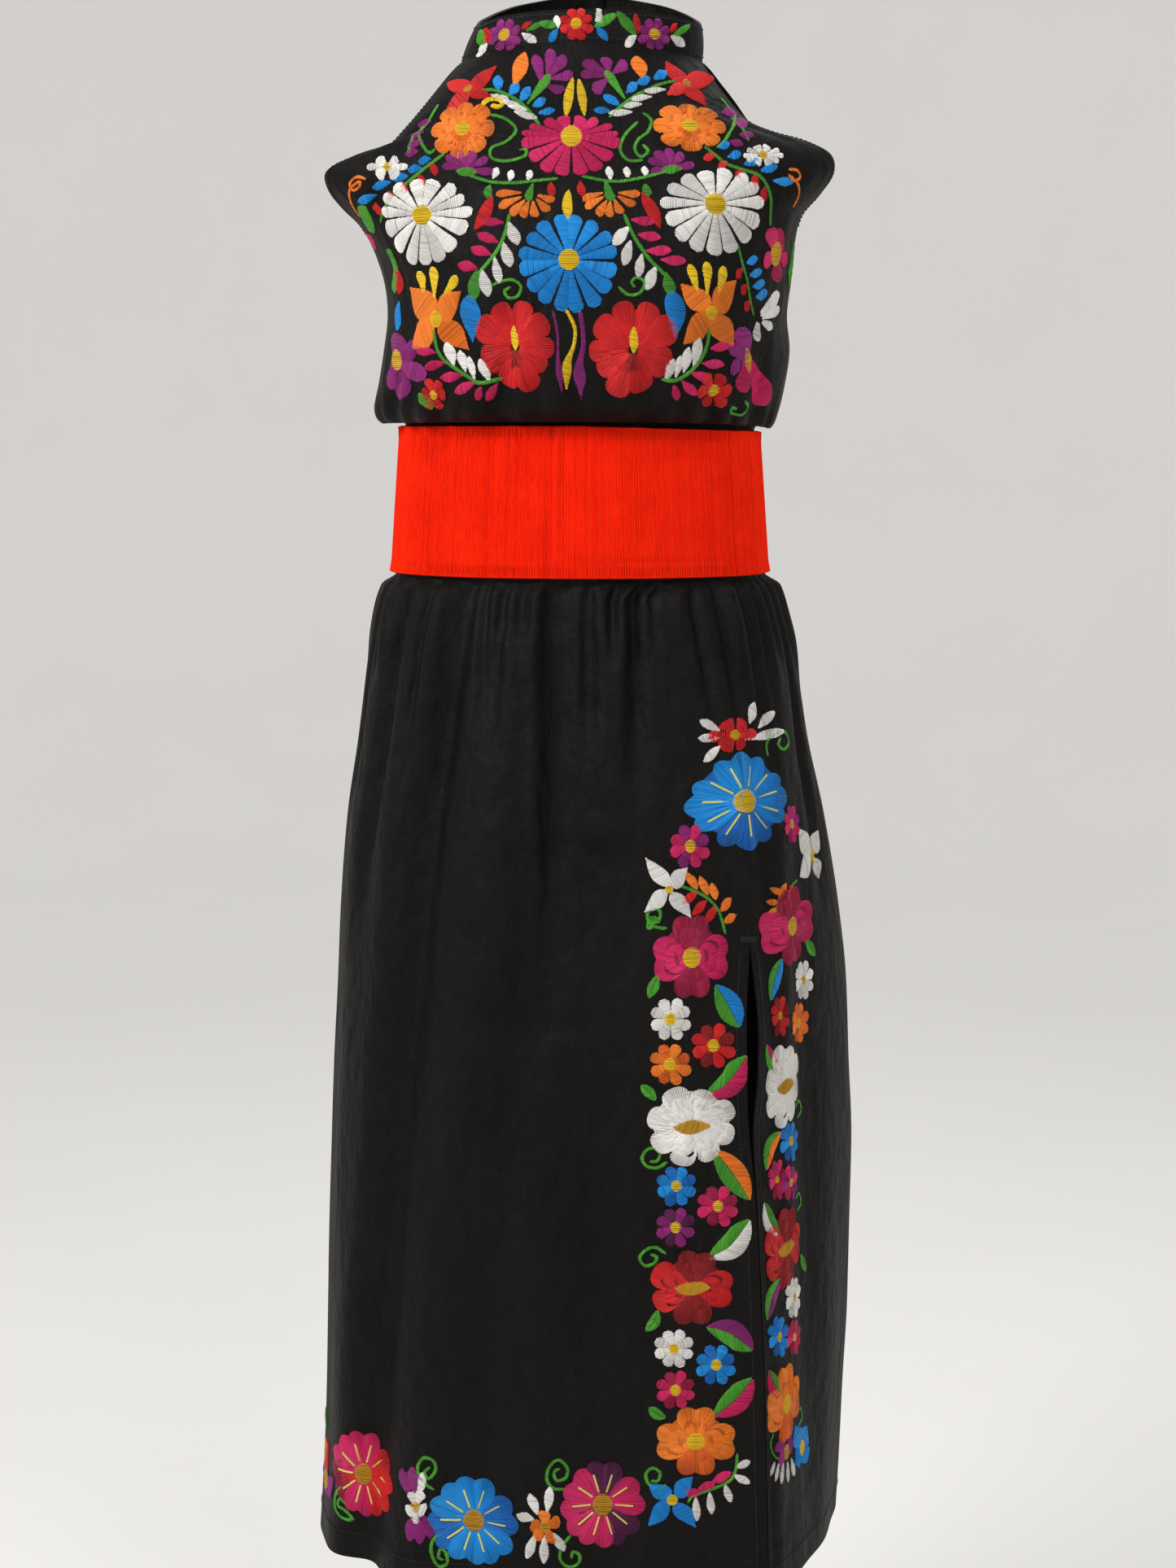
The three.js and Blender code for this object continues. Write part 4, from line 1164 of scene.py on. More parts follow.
# Roses and other wide flowers: scalloped lobes, each one's stitches lying its own way. The petals of each
# kind are listed from the bottom layer up; angles are clockwise from the top.
ROSE_PETALS = rows("""
kind    thread  middle span reach scallops lift inner bands
garden  crimson 0      360  0.8   1        0    0.1   1
garden  red     250    56   0.95  1        0.1  0.3   1
garden  red     199    50   0.96  1        0.1  0.3   1
garden  red     159    44   1.06  1        0.2  0.3   1
garden  red     122    36   0.92  1        0.1  0.3   1
garden  red     94     36   1     1        0.25 0.3   1
garden  red     56     44   1.03  1        0.3  0.3   1
garden  red     18     38   1.04  1        0.4  0.3   1
garden  red     338    40   1.05  1        0.4  0.3   1
garden  red     300    46   1.12  1        0.3  0.3   1
garden  red     250    130  0.6   3        0.5  0.14  1
garden  red     110    130  0.6   3        0.5  0.14  1
garden  crimson 182    80   0.5   2        0.6  0.1   1
garden  red     0      140  0.56  2        0.6  0.12  1
peony   rust    0      360  0.82  1        0    0.1   1
peony   orange  180    46   1     1        0    0.2   2
peony   orange  134    46   0.98  1        0.2  0.2   2
peony   orange  226    46   1     1        0.2  0.2   2
peony   orange  88     46   1     1        0.3  0.2   2
peony   orange  272    46   1     1        0.3  0.2   2
peony   orange  42     46   1.03  1        0.4  0.2   2
peony   orange  318    46   1.02  1        0.4  0.2   2
peony   orange  0      42   0.94  1        0.5  0.2   2
peony   rust    190    150  0.46  3        0.6  0.12  1
magenta cherry  0      360  0.76  1        0    0.1   1
magenta cherry  180    84   0.98  2        0    0.1   2
magenta pink    268    96   1     2        0.25 0.1   3
magenta pink    92     96   1     2        0.25 0.1   3
magenta cherry  0      84   1     2        0.45 0.1   3
snow    white   0      360  0.88  1        0    0.1   1
snow    white   195    46   1     1        0.1  0.16  3
snow    white   150    44   0.97  1        0.1  0.16  3
snow    white   240    46   1     1        0.2  0.16  3
snow    white   106    44   1     1        0.2  0.16  3
snow    white   286    46   1.02  1        0.3  0.16  3
snow    white   64     42   1.06  1        0.35 0.16  3
snow    white   20     46   0.95  1        0.45 0.16  3
snow    white   334    48   1.06  1        0.45 0.16  3
ruby    crimson 0      360  0.76  1        0    0.1   1
ruby    crimson 180    84   1     2        0    0.1   2
ruby    red     244    50   1     1        0.2  0.1   3
ruby    red     94     88   1     2        0.25 0.1   3
ruby    red     296    56   1.04  1        0.35 0.1   3
ruby    crimson 8      84   1     2        0.45 0.1   3
amber   rust    0      360  0.76  1        0    0.1   1
amber   rust    180    84   1     2        0    0.1   2
amber   orange  0      84   1     2        0.1  0.1   2
amber   orange  270    94   1     2        0.3  0.1   3
amber   orange  91     94   1     2        0.3  0.1   3
sky     navy    0      360  0.84  1        0    0.1   1
sky     navy    182    92   1     3        0    0.1   1
sky     blue    272    92   1     3        0.25 0.1   1
sky     blue    92     92   1     3        0.25 0.1   1
sky     blue    2      90   1     3        0.4  0.1   1
ember   red     90     150  1     2        0    0.1   1
ember   orange  270    150  1     2        0.1  0.1   1
""")
# The hem's big flowers have one shape, each with its own threads
HEM_SHAPE = rows("""
middle span reach scallops lift inner bands
0      360  0.66  1        0    0.1   1
250    82   1     2        0    0.1   1
140    82   1     2        0.1  0.1   1
192    76   1     2        0.2  0.1   1
72     78   1     2        0.2  0.1   1
2      80   1     2        0.3  0.1   1
308    74   1     2        0.35 0.1   1
""")
HEM_THREADS = {
    "dusk": ("plum", "pink", "plum", "pink", "pink", "plum", "pink"),
    "dawn": ("red", "cherry", "red", "pink", "red", "pink", "pink"),
    "wave": ("blue", "navy", "blue", "blue", "navy", "blue", "blue"),
}
for kind, threads in HEM_THREADS.items():
    ROSE_PETALS += [{"kind": kind, "thread": thread, **petal} for thread, petal in zip(threads, HEM_SHAPE)]
# Where each stands: its left, right, top and bottom in the photograph, its centre's size and its rays
ROSES = rows("""
kind    left right top  bottom centre shape   rays ray
garden  593  675   371  481    yellow upright 0    1
garden  827  728   371  488    yellow upright 0    1
peony   530  607   125  194    yellow round   0    0
peony   803  892   126  186    yellow round   0    0
magenta 802  898   1123 1230   yellow round   0    0
snow    796  904   1335 1434   gold   level   0    0
ruby    799  903   1535 1630   gold   level   0    0
amber   804  906   1727 1815   yellow round   0    0
sky     866  967   924  1045   yellow round   11   0.72
magenta 947  997   1088 1188   yellow round   0    0
snow    942  988   1283 1386   gold   level   0    0
ruby    942  989   1482 1585   gold   level   0    0
amber   947  983   1675 1775   yellow round   0    0
dawn    401  494   1757 1864   gold   round   10   0.7
wave    525  641   1812 1923   gold   round   10   0.7
dusk    687  794   1793 1903   gold   round   10   0.7
ember   396  408   1762 1812   gold   round   0    1
""")


def rose(hoop, row):
    """One wide flower on its patch"""
    middle = np.array([(row["left"] + row["right"]) / 2, (row["top"] + row["bottom"]) / 2])
    half = np.array([abs(row["right"] - row["left"]), row["bottom"] - row["top"]]) / 2
    mirrored = -1 if row["left"] > row["right"] else 1
    centre = hoop.at(middle)
    reaches = (np.array([half[0], 0]), np.array([0, half[1]]))
    size = np.array([np.linalg.norm(hoop.at(middle + r) - hoop.at(middle - r)) / 2 for r in reaches])
    for petal in ROSE_PETALS:
        if petal["kind"] == row["kind"]:
            lobe(hoop, petal, centre, size * [mirrored, 1], 0.6 + chance.normal(0, 0.06))
    top = 0.0007 if row["kind"] in ("garden", "peony") else 0.0005
    for index in range(int(row["rays"])):
        turn = 2 * math.pi * (index + 0.5) / row["rays"]
        ray = np.array([math.sin(turn), math.cos(turn)]) * size
        for aside in (-0.0003, 0.0003):
            beside = np.array([math.cos(turn), -math.sin(turn)]) * aside
            root, tip = centre + ray * 0.28 + beside, centre + ray * row["ray"] + beside
            stitch(hoop, "lemon", root, tip, top + 0.0005, 0.0003, 0.6)
    if row["shape"] == "round":
        disc(hoop, row["centre"], centre, size[0] * 0.24, top + 0.0004, 0.0006, min(1.2, size[1] / size[0]))
        return
    upright = row["shape"] == "upright"
    reach = np.array([0, size[1] * 0.28]) if upright else np.array([size[0] * 0.42, 0])
    place = centre + (np.array([0, size[1] * 0.2]) if upright else 0)
    wide = size[0] * 0.13 if upright else size[1] * 0.2
    ends = [place - reach, place + reach]
    satin(hoop, row["centre"], ends, "leaf", wide, top + 0.0004, pad=0.0006, slant=20)


for row in ROSES:
    rose(Hoop((row["left"] + row["right"]) / 2, (row["top"] + row["bottom"]) / 2), row)

# Single petals, buds and drops, each stitched from its root to its tip. A row is a thread, a kind and any
# number of petals: the widest across, then the path, in the photograph's own pixels.
PETALS = """
red star 17:577,111>547,98 17:577,111>611,81 17:577,111>546,140 15:577,111>604,121 17:842,104>817,75
red star 17:842,104>883,89 16:842,104>819,117 16:842,104>868,132
orange drop 18:632,105>644,69 19:789,96>783,72
blue drop 13:612,112>612,95 12:626,117>636,104 12:639,125>650,109 11:654,131>669,123 9:661,139>680,136
blue drop 12:803,97>818,89 12:782,103>797,97 12:770,114>781,103 11:761,130>744,118 9:750,137>732,135
purple bud 17:667,106>658,68 17:672,94>678,61 18:674,95>695,70 16:675,97>704,92 16:671,104>692,113
purple bud 15:746,94>714,90 16:747,91>717,75 18:748,89>744,71 18:752,91>770,77 20:748,96>729,113
green bud 15:648,128>676,92 13:768,122>744,87
yellow leaf 12:704,96>699,118>695,145 11:711,96>715,118>718,143
white drop 7:603,117>623,122 7:614,123>637,130 7:624,130>646,135 9:632,137>657,145 8:818,110>793,112
white drop 8:801,119>777,121 8:789,128>768,130 9:777,138>751,139
yellow stem 5:592,130>600,123>612,122>618,127>612,132>604,129
purple drop 10:530,151>516,153 10:520,163>507,166 10:520,174>503,179 10:515,186>500,189 10:888,138>903,138
purple drop 10:901,151>916,153 10:908,165>924,167 10:897,173>911,178
purple bud 13:573,207>544,203 14:573,206>549,191 15:573,205>565,185 15:574,205>583,187 13:575,206>600,195
purple bud 13:575,208>606,212 13:823,205>797,196 14:823,204>806,186 15:824,203>822,183 15:825,204>839,189
purple bud 13:825,206>853,203 13:823,208>800,211
green leaf 12:562,210>584,212 12:813,209>836,207
white drop 9:606,219>611,208 9:626,222>629,211 9:648,222>652,211 9:750,221>748,207 9:771,219>770,207
white drop 9:793,217>792,206
red drop 11:677,224>678,240 11:713,223>715,240
green drop 11:602,228>598,242
red leaf 16:605,240>596,262>583,282
green drop 11:793,226>796,240
red leaf 16:789,236>800,256>811,280
orange bud 12:641,237>610,238 13:641,242>613,254 14:645,246>627,264 14:650,247>641,267 14:655,247>657,267
orange bud 13:659,244>674,260 12:661,240>681,247
green bud 13:655,225>648,247
orange bud 12:741,237>716,245 13:742,242>719,255 14:746,246>734,265 14:750,247>748,267 14:755,245>763,263
orange bud 13:759,241>780,253 12:760,237>786,239
green bud 15:744,222>751,247
yellow leaf 13:699,233>697,252>698,272
blue drop 11:529,196>516,198 11:518,207>503,208 11:502,217>485,219 11:480,224>460,230 11:462,240>441,248
red drop 10:531,200>535,214 10:515,214>520,227 10:495,224>498,238 10:478,234>482,248 10:462,250>466,262
green leaf 15:450,256>452,281
blue drop 11:882,181>895,177 11:895,193>909,189 11:914,202>931,197 11:935,210>953,205 11:950,222>972,224
red drop 10:880,190>866,195 10:893,199>884,206 10:912,209>905,218 10:929,214>927,228 10:940,230>937,246
pink drop 11:619,274>593,272 12:612,298>589,288 13:603,313>581,305 14:586,330>565,325
white drop 15:625,273>635,298 15:619,299>626,325 12:608,317>613,345 15:592,331>599,361
green drop 16:585,334>581,366
blue star 26:579,362>578,384>581,421
pink drop 12:777,270>802,273 12:784,288>809,292 13:795,308>822,308 13:813,319>840,321
white drop 15:773,279>755,298 14:775,296>767,323 12:789,312>784,338 15:806,328>795,353
green drop 16:819,336>824,360
blue star 26:823,356>830,380>828,418
orange star 29:534,390>503,353 29:538,390>566,358 28:534,394>504,430 30:539,394>576,430
yellow bud 13:522,364>516,333 13:534,366>533,328 14:545,364>562,340
orange star 29:872,382>836,348 29:876,382>905,344 28:871,386>839,424 29:876,386>902,428
yellow bud 14:858,364>848,325 14:869,364>869,322 14:882,364>890,328
purple ribbon 8:679,380>685,410>686,446>691,488
yellow ribbon 12:694,378>706,402>705,424>697,448>696,484
purple ribbon 16:712,380>717,420>712,452>714,493
pink drop 12:534,433>513,430 12:546,446>524,451 13:567,462>545,464 13:584,470>561,481 10:591,476>586,490
pink drop 12:611,472>599,490
white drop 14:558,449>550,423 12:572,456>566,433 9:583,466>577,441 13:601,468>591,444
pink drop 12:873,428>896,424 12:863,446>886,448 12:850,458>870,465 12:838,468>854,484 10:828,473>832,490
white drop 13:852,450>859,418 12:840,457>846,430 9:830,464>836,440 12:818,467>827,444
purple petal 21:489,443>487,409 17:489,443>512,427 18:489,446>518,462 19:488,446>500,488 13:487,445>478,476
purple petal 22:917,442>912,402 16:915,442>898,424 17:915,445>897,454
pink petal 20:918,446>912,482 18:921,446>936,494
yellow leaf 10:917,428>920,456
green leaf 14:514,484>522,492>527,504
pink petal 15:952,310>947,280 15:954,310>962,288 15:953,314>938,322 15:954,315>955,346 12:956,312>968,322
blue drop 10:917,323>929,318 10:921,338>934,334 10:925,352>938,348 10:929,365>941,360
red drop 9:912,330>905,340 9:917,350>911,360 9:921,370>915,380
white petal 11:935,386>957,362 10:937,390>958,380 10:936,395>949,403 11:931,396>929,419
green stem 7:965,346>974,322>976,300
pink petal 14:462,305>452,286
red leaf 12:489,330>491,358
green stem 6:486,356>487,330>480,305
blue drop 9:491,372>488,402
white drop 12:921,888>927,866 12:927,895>949,877 12:925,907>950,901 11:883,898>863,886 11:883,907>861,907
white drop 11:885,917>867,934
white star 20:822,1090>793,1054 20:824,1090>845,1066 20:820,1095>792,1121 20:825,1096>849,1128
orange leaf 11:856,1092>845,1074 11:869,1099>861,1079 11:879,1105>875,1087 11:886,1119>897,1105
orange leaf 11:890,1133>903,1125
red leaf 11:856,1097>838,1110 11:867,1108>852,1123 11:880,1115>867,1132
blue star 21:824,1841>797,1823 21:829,1839>852,1814 21:822,1845>796,1876 21:829,1846>855,1877
white drop 10:904,1803>920,1797 10:902,1812>919,1822 10:891,1824>897,1844 10:872,1834>874,1858
white drop 10:855,1840>856,1866
pink leaf 12:898,1810>877,1820 12:878,1824>860,1829 12:860,1836>842,1833
white star 15:996,1050>981,1018 15:998,1048>1005,1020 15:996,1054>982,1078 13:998,1054>1006,1080
orange leaf 8:966,1087>958,1103 8:962,1099>948,1092 8:957,1110>943,1108 8:955,1119>944,1122
red leaf 8:969,1090>976,1104 8:963,1104>972,1118
blue star 14:984,1776>975,1752 14:986,1776>991,1752 14:983,1781>976,1800 13:986,1781>991,1798
purple petal 12:964,1782>956,1772 12:966,1782>972,1770 11:965,1785>957,1794
white drop 4:952,1796>947,1812 4:957,1797>953,1818 4:962,1797>960,1821 4:967,1796>968,1819
white drop 4:972,1793>975,1812
purple drop 15:502,1836>495,1808 15:509,1834>508,1806
white drop 12:515,1836>520,1812
purple drop 15:508,1864>503,1890 15:515,1864>515,1894 15:521,1862>528,1888
white drop 12:660,1861>652,1838 12:656,1868>637,1862 12:672,1858>676,1830 12:658,1886>648,1912
white drop 12:669,1889>668,1918 12:680,1884>692,1904
orange petal 16:670,1874>668,1856 16:672,1876>688,1868 16:671,1879>681,1896 16:668,1879>657,1890
orange petal 16:667,1875>652,1874
purple petal 15:402,1814>398,1796 15:402,1818>410,1832 13:402,1820>402,1838
white drop 11:599,54>589,68 11:642,41>657,51 9:686,34>684,21 11:782,43>769,56 11:824,44>840,55
blue drop 10:685,36>676,50 10:733,32>745,48
green leaf 11:589,38>595,54 7:648,37>669,27 11:664,28>683,32 12:757,18>733,31 13:760,15>779,41
green leaf 8:828,43>847,32
red leaf 11:596,36>601,52 7:641,35>652,28 9:781,18>784,39 7:823,39>831,30
white block 10:736,11>736,28
"""
for line in PETALS.strip().splitlines():
    thread, kind, *petals = line.split()
    for petal in petals:
        width, path = petal.split(":")
        path = spots_of(path)
        hoop = Hoop(*np.mean(path, axis=0))
        spine = [hoop.at(place) for place in path]
        if kind in ("drop", "leaf") and len(path) == 2:
            stretch = (spine[1] - spine[0]) * 0.12
            spine = [spine[0] - stretch * 0.6, spine[1] + stretch]
        run = np.array(path[-1]) - np.array(path[0])
        run = run / np.linalg.norm(run)
        aside = np.array([run[1], -run[0]]) * float(width) / 2
        middle = np.mean(path, axis=0)
        half_width = np.linalg.norm(hoop.at(middle + aside) - hoop.at(middle - aside)) / 2
        satin(hoop, thread, spine, kind, half_width, slant=14, tone=0.6 + chance.normal(0, 0.08))

# Round centres worked over small flowers, and the rings in the middle of the pointed ones
CENTRES = rows("""
thread x    y    radius
yellow 536  392  7.5
yellow 874  384  7.5
yellow 488  442  7
yellow 953  312  6
gold   575  110  5
gold   844  103  5
yellow 822  1093 5
yellow 826  1843 7
yellow 997  1051 4
gold   965  1784 4
gold   511  1851 6
gold   670  1876 7
gold   402  1817 5
yellow 984  1779 4
""")
for row in CENTRES:
    hoop = Hoop(row["x"], row["y"])
    middle = hoop.at((row["x"], row["y"]))
    radius = abs(hoop.at((row["x"] + row["radius"], row["y"]))[0] - middle[0])
    disc(hoop, row["thread"], middle, radius, 0.0006, 0.0005)

# Vines, tendrils and curls: narrow green stems. On the panel behind the slit, which turns away, they are
# finer, and leaves are wider than they look.
SIDE_PANEL_X = 939
SIDE_PANEL_Y = 1000
VINES = rows("""
thread width path
green  4.4 592,108>612,111>630,120>648,134>663,153
green  4.4 831,99>808,106>782,117>766,127>750,139
green  4   539,130>526,148>515,162>517,174>525,183>533,179
green  4   520,152>508,168>500,186
green  4   885,122>898,136>903,149>895,163>887,166
green  4   900,143>912,158>920,172
green  4   601,140>622,147>634,160>622,174>604,182>604,194>622,198>644,192>646,184>638,184
green  4   790,139>800,148>796,162>784,172>780,184>788,193>796,186>790,178
green  4   784,150>768,166>762,184>772,197>790,197
green  4   576,214>602,223>630,225>658,222>686,219
green  4   715,216>738,221>760,223>786,219>812,212>833,204
green  4.6 543,186>526,202>505,221>480,240>454,263
green  4.6 868,177>882,191>893,201>914,209>934,216>950,236>957,265
orange 3.4 446,222>436,219>430,226>434,234>441,230>440,224>430,234>430,252>436,270
orange 3.4 972,209>981,210>983,218>976,222>971,216>980,226>983,240>979,256
green  4.6 625,262>621,284>612,306>598,324>586,336
green  4.6 768,262>778,288>796,316>812,332>820,340
green  3.6 602,352>616,346>630,344>640,352>636,364>625,366>620,358>628,353
green  3.6 760,352>772,362>786,360>792,348>784,341>776,346>780,353
green  5   531,404>536,427>545,442>560,453>575,463>588,471>610,466
green  5   873,404>868,428>858,446>844,460>830,468>815,466
green  3.6 909,300>913,325>918,345>922,366>928,388
green  3.6 905,503>897,498>898,506>910,510>920,503>916,494
green  4   947,929>946,916>950,905>960,899>969,903>971,914>963,921>956,915>959,907
green  3.6 837,1089>856,1096>872,1106>884,1122>891,1148
green  4   819,1141>806,1139>797,1132>796,1122>803,1116>811,1120>810,1130>802,1133
green  4   820,1428>808,1435>795,1433>789,1424>794,1414>804,1411>811,1418>807,1427>798,1427
green  4   818,1541>806,1533>794,1536>786,1546>792,1555>803,1553>807,1545>799,1541
green  4   819,1825>806,1829>796,1822>794,1811>802,1804>811,1810>808,1820>800,1819
green  3.6 906,1786>904,1806>896,1820>875,1830>852,1838>845,1846
green  3   980,1082>972,1090>966,1102>958,1118
green  3   979,1374>984,1364>981,1352>976,1360
green  3   979,1488>984,1478>981,1466>976,1473
green  3   980,1752>986,1742>983,1730>977,1738
green  3   950,1762>947,1776>952,1790>964,1796
green  4   420,1826>411,1838>411,1854>421,1865>432,1868>424,1856>415,1850>418,1842>426,1850
green  4   533,1831>519,1820>513,1805>520,1792>532,1795>535,1807>527,1817>522,1809>529,1803
green  4   543,1883>532,1893>530,1908>538,1924>549,1922>548,1908>541,1904>539,1914>545,1917
green  4   694,1830>680,1829>672,1818>675,1803>686,1794>697,1804>695,1816>684,1819>681,1809>688,1805
green  4   701,1887>691,1900>688,1915>697,1925>710,1922>712,1911>704,1907>702,1915
""")
for row in VINES:
    path = row["path"]
    hoop = Hoop(*np.mean(path, axis=0))
    spine = [hoop.at(place) for place in path]
    squeeze = 0.75 if path[0][0] > SIDE_PANEL_X and path[0][1] > SIDE_PANEL_Y else 1
    half_width = row["width"] / 2 * hoop.pixel * squeeze
    satin(hoop, row["thread"], spine, "stem", half_width, pad=0.0005, slant=30)

# Leaves of the skirt in two halves, each half its own thread, slanting up from the midrib
LEAVES = rows("""
first second width path
blue  green  40 879,1210>893,1232>908,1262
green pink   42 867,1345>893,1332>918,1297
orange green 42 877,1413>899,1440>921,1474
green white  42 870,1546>898,1530>921,1499
purple green 42 868,1630>896,1638>925,1659
green pink   42 876,1741>902,1722>925,1694
blue  green  17 960,1178>952,1202>946,1230
pink  green  19 940,1284>948,1304>961,1322
orange green 19 957,1390>946,1410>941,1438
green white  19 939,1478>946,1502>958,1520
purple green 19 961,1570>949,1592>943,1622
green pink   19 944,1684>951,1702>962,1722
green green  15 812,1132>803,1132>796,1142
green green  17 808,1198>804,1210>797,1226
green green  17 806,1352>799,1344>788,1334
green green  17 808,1610>804,1624>794,1636
green green  17 818,1742>808,1738>798,1730
green green  12 989,1156>995,1164>1001,1174
green green  9  983,1542>986,1551>989,1562
green green  10 404,1756>401,1742>400,1728
""")
for row in LEAVES:
    path = row["path"]
    hoop = Hoop(*path[1])
    spine = [hoop.at(place) for place in path]
    widen = 1 if path[0][0] < SIDE_PANEL_X else 1.5
    half_width = row["width"] / 2 * hoop.pixel * widen
    satin(hoop, row["first"], spine, "blade", half_width, slant=38, side=1, tone=0.62)
    satin(hoop, row["second"], spine, "blade", half_width, slant=38, side=-1, tone=0.55)

# The garland goes on round the wearer's right side and the back of the hem. It isn't seen there and repeats
# the kinds of the front.
HIDDEN_GARLAND = rows("""
angle kind
108   wave
132   dusk
156   dawn
180   wave
204   dusk
""")
GARLAND_LEVEL = -1.045
GARLAND_REACH = 0.6
GARLAND_FLOWER = {"left": -50, "right": 50, "top": -54, "bottom": 54, "centre": "gold", "shape": "round"}
GARLAND_CURL = ((52, 26), (62, 34), (70, 26), (64, 18), (58, 24))


def beside(hoop, side, *places):
    """Places at one side of a flower of the garland"""
    return [hoop.at((side * x, y)) for x, y in places]


for row in HIDDEN_GARLAND:
    turn = math.radians(row["angle"])
    aim = np.array([math.sin(turn), math.cos(turn), 0])
    place = -aim * GARLAND_REACH + [0, 0, GARLAND_LEVEL]
    hoop = Hoop(0, 0, place, aim)
    rose(hoop, {**row, **GARLAND_FLOWER, "rays": 10, "ray": 0.7})
    for side in (-1, 1):
        satin(hoop, "green", beside(hoop, side, *GARLAND_CURL), "stem", 0.001, pad=0.0005, slant=30)
        satin(hoop, "white", beside(hoop, side, (66, -8), (78, -32)), "drop", 0.0035)
        satin(hoop, "orange", beside(hoop, side, (70, 0), (90, -6)), "petal", 0.0048)

# Topstitching in black thread along the turned edges: armholes, collar, slit and hem, and the bar tack that
# closes the slit's top.
TOPSTITCH_LENGTH = 0.0026
TOPSTITCH_STEP = 0.0036
EDGE_MARGIN = 0.0055
HEM_MARGIN = 0.014
TACK_MIDDLE = (922, 1155)
TACK_HALF_WIDTH = 6
TACK_STEP = 0.9


def running(line, outs):
    """Stitches one after another along a line on the cloth"""
    run = run_of(line)
    for start in np.arange(TOPSTITCH_STEP / 2, run[-1] - TOPSTITCH_LENGTH, TOPSTITCH_STEP):
        spots = []
        for share, lift in ((0, -0.0001), (0.5, 0.0003), (1, -0.0001)):
            at = start + share * TOPSTITCH_LENGTH
            spots.append(spot_on(line, run, at) + spot_on(outs, run, at) * lift)
        stitches["black"].append(np.array(spots))
        tones["black"].append(0.6 + chance.normal(0, 0.15))


def edge_line(grid, side, margin, first=0, last=None):
    """A line beside one upright edge of a cloth, and the ways out along it"""
    away = lengths(grid, 1)
    column_at = int(np.argmax(away >= margin))
    column_at = column_at if side == "left" else grid.shape[1] - 1 - column_at
    return grid[first:last, column_at], normals_of(grid)[first:last, column_at]


armhole_row = int((UNDERARM_ROW + 0.6) / len(BODICE_FRONT) * (FRONT_ROWS - 1))
armhole_row_back = int((UNDERARM_ROW + 0.6) / len(BODICE_BACK) * (BACK_ROWS - 1))
slit_rows = int(np.argmax(heights[::-1] >= SLIT_TOP))
hem_row = int(np.argmax(heights[::-1] >= SKIRT_HEM + HEM_MARGIN / MM))
for side in ("left", "right"):
    running(*edge_line(front_grid, side, EDGE_MARGIN, armhole_row, -1))
    running(*edge_line(back_grid, side, EDGE_MARGIN, armhole_row_back, -1))
running(*edge_line(skirt_grids["front"], "right", EDGE_MARGIN, 0, slit_rows))
running(*edge_line(skirt_grids["side_front"], "left", EDGE_MARGIN, 0, slit_rows))
for grid in skirt_grids.values():
    running(grid[hem_row], normals_of(grid)[hem_row])
for row_at in (1, COLLAR_ROWS - 2):
    running(collar_grid[row_at], normals_of(collar_grid)[row_at])
tack = Hoop(*TACK_MIDDLE)
for step in np.arange(-3, 4):
    level = TACK_MIDDLE[1] + step * TACK_STEP
    ends = [tack.at((TACK_MIDDLE[0] + side * TACK_HALF_WIDTH, level)) for side in (-1, 1)]
    stitch(tack, "black", *ends, 0.0002, 0.0005, 0.7)

# Thread itself: spun rayon or cotton, one piece for each colour. Its sheen is broken by the stitches and by
# a little uneven dye, and a loose stitch, which lies lower, carries painted shade in its tone.
for row in THREADS:
    name = row["name"]
    if not stitches[name]:
        continue
    bright = [((row[part] / 255 + 0.055) / 1.055) ** 2.4 for part in ("red", "green", "blue")]
    deep = [part * (0.5 if name != "white" else 0.6) for part in bright]
    thread, tree, inputs = material(name + "_thread")
    tone = tree.node("ShaderNodeAttribute", {"attribute_name": "tone"}, {}, out=2)
    place = tree.node("ShaderNodeTexCoord", {}, {}, out=3)
    fibre = place.noise(1300, 2.0).between(0.3, 0.7)
    shade = tone * 0.75 + fibre * 0.25
    feed(
        tree,
        inputs,
        Base_Color=shade.colours((*deep, 1), (*bright, 1)),
        Roughness=0.62 - shade * 0.14,
        Sheen_Weight=0.04,
        Specular_IOR_Level=0.3,
        Normal=fibre.bumped(0.00018),
    )
    worked = strands(name + "_stitches", stitches[name], thread, STITCH_RADIUS, 3, tones[name])
    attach(worked, "root")

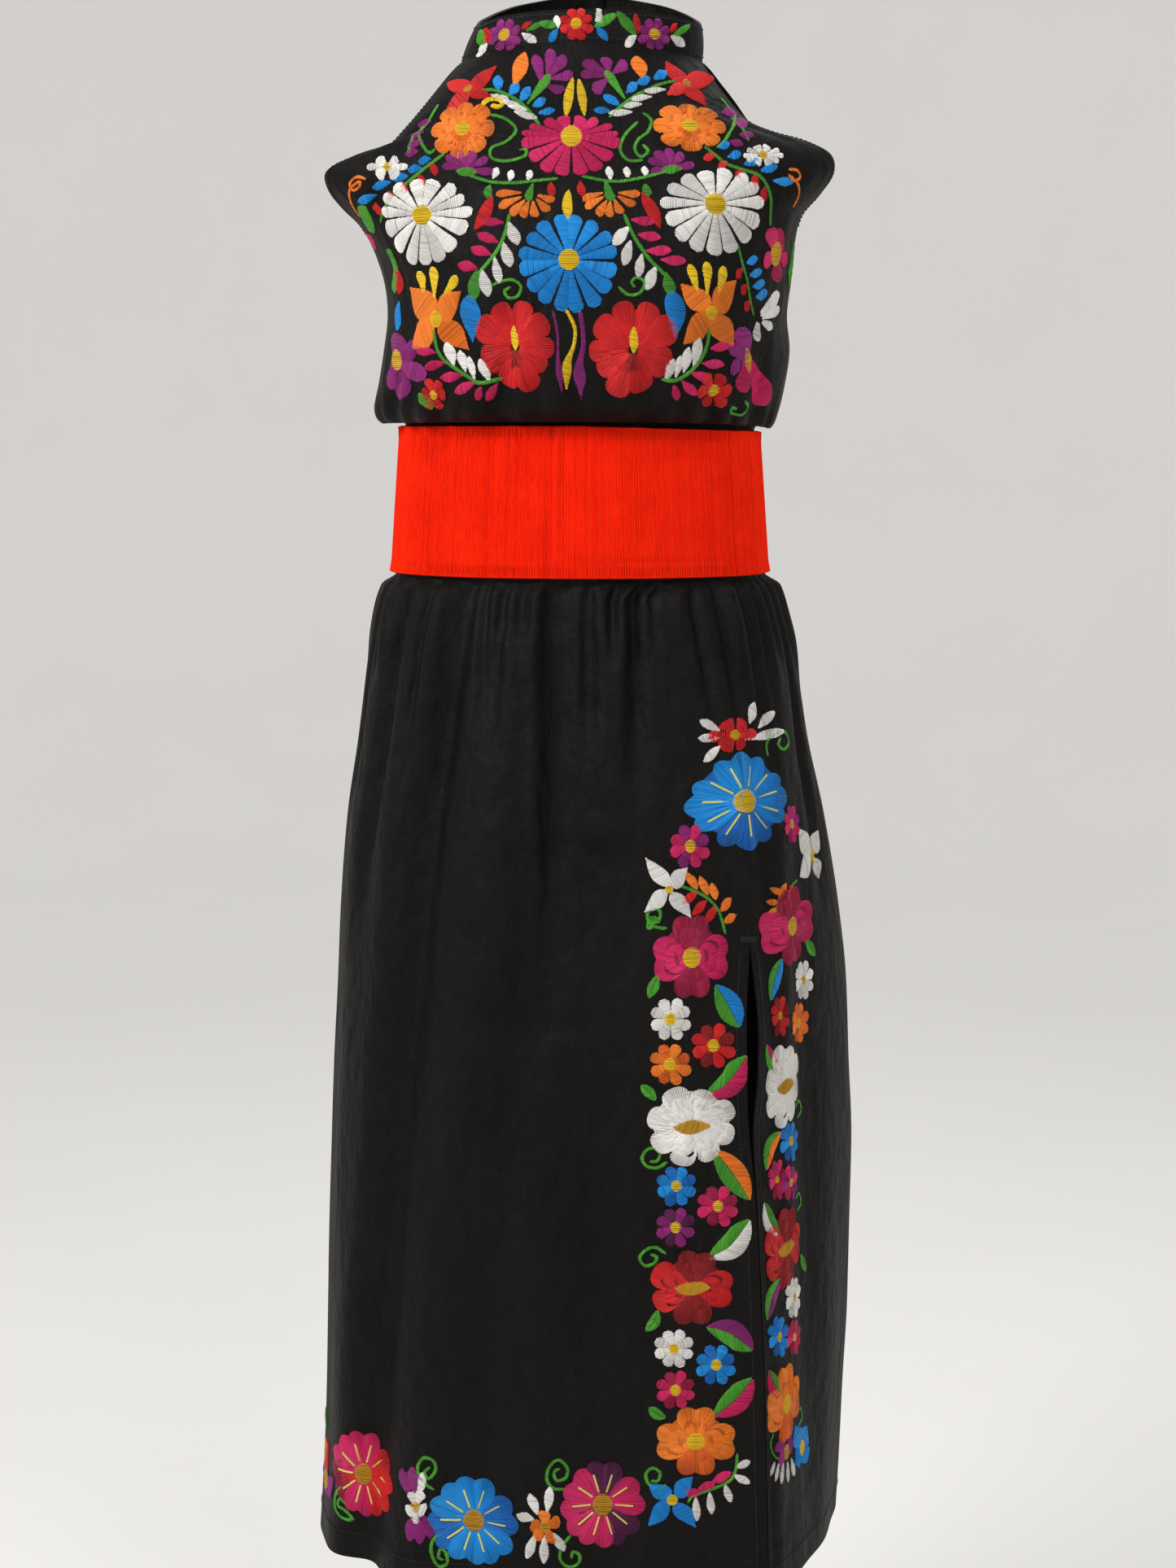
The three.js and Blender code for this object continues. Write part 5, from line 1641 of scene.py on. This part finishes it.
# Floor and backdrop: one pale seamless sheet of paper, level under the dress, that curves up far out on
# every side like a studio's.
FLOOR_LEVEL = -1.45
BOWL = rows("""
radius height
0.01   0
3.4    0
4.1    0.1
4.7    0.45
5.1    1.1
5.3    2.2
5.4    5
""")
BOWL_SIDES = 72
paper, tree, inputs = material("pale_paper")
mottle = tree.node("ShaderNodeTexCoord", {}, {}, out=3).noise(3, 2.0)
feed(
    tree,
    inputs,
    Base_Color=mottle.colours((0.6, 0.59, 0.575, 1), (0.64, 0.63, 0.61, 1)),
    Roughness=0.9,
    Emission_Color=(1, 0.975, 0.945, 1),
    Emission_Strength=0.24,
)
around = np.linspace(0, 2 * math.pi, BOWL_SIDES, endpoint=False)
points = [
    (ring["radius"] * math.cos(a), ring["radius"] * math.sin(a), FLOOR_LEVEL + ring["height"])
    for ring in BOWL
    for a in around
]
faces = [list(range(BOWL_SIDES))]
for r in range(len(BOWL) - 1):
    for c in range(BOWL_SIDES):
        beside = (c + 1) % BOWL_SIDES
        low, high = r * BOWL_SIDES, (r + 1) * BOWL_SIDES
        faces.append([low + beside, low + c, high + c, high + beside])
backdrop = put("backdrop", points, faces, None, paper)

# Light: a strong soft lamp above the camera at the left, a wider and weaker one at the right, one behind the
# dress, and a pale room that fills the shadows.
LAMPS = rows("""
name x    y    z    size power
key  -1.7 -1.5 1.1  0.9  60
fill 1.1  -2.0 1.5  1.5  36
back 0.3  1.1  1.7  1.4  26
""")
for lamp in LAMPS:
    light = bpy.data.lights.new(lamp["name"], "AREA")
    light.size = lamp["size"]
    light.energy = lamp["power"]
    holder = bpy.data.objects.new(lamp["name"], light)
    holder.location = (lamp["x"], lamp["y"], lamp["z"])
    aim = Vector((0, 0, -0.5)) - holder.location
    holder.rotation_euler = aim.to_track_quat("-Z", "Y").to_euler()
    bpy.context.scene.collection.objects.link(holder)
room = bpy.data.worlds.new("room")
room.use_nodes = True
room.node_tree.nodes["Background"].inputs["Color"].default_value = (0.93, 0.95, 1, 1)
room.node_tree.nodes["Background"].inputs["Strength"].default_value = 0.3
bpy.context.scene.world = room
bpy.context.scene.view_settings.view_transform = "Standard"
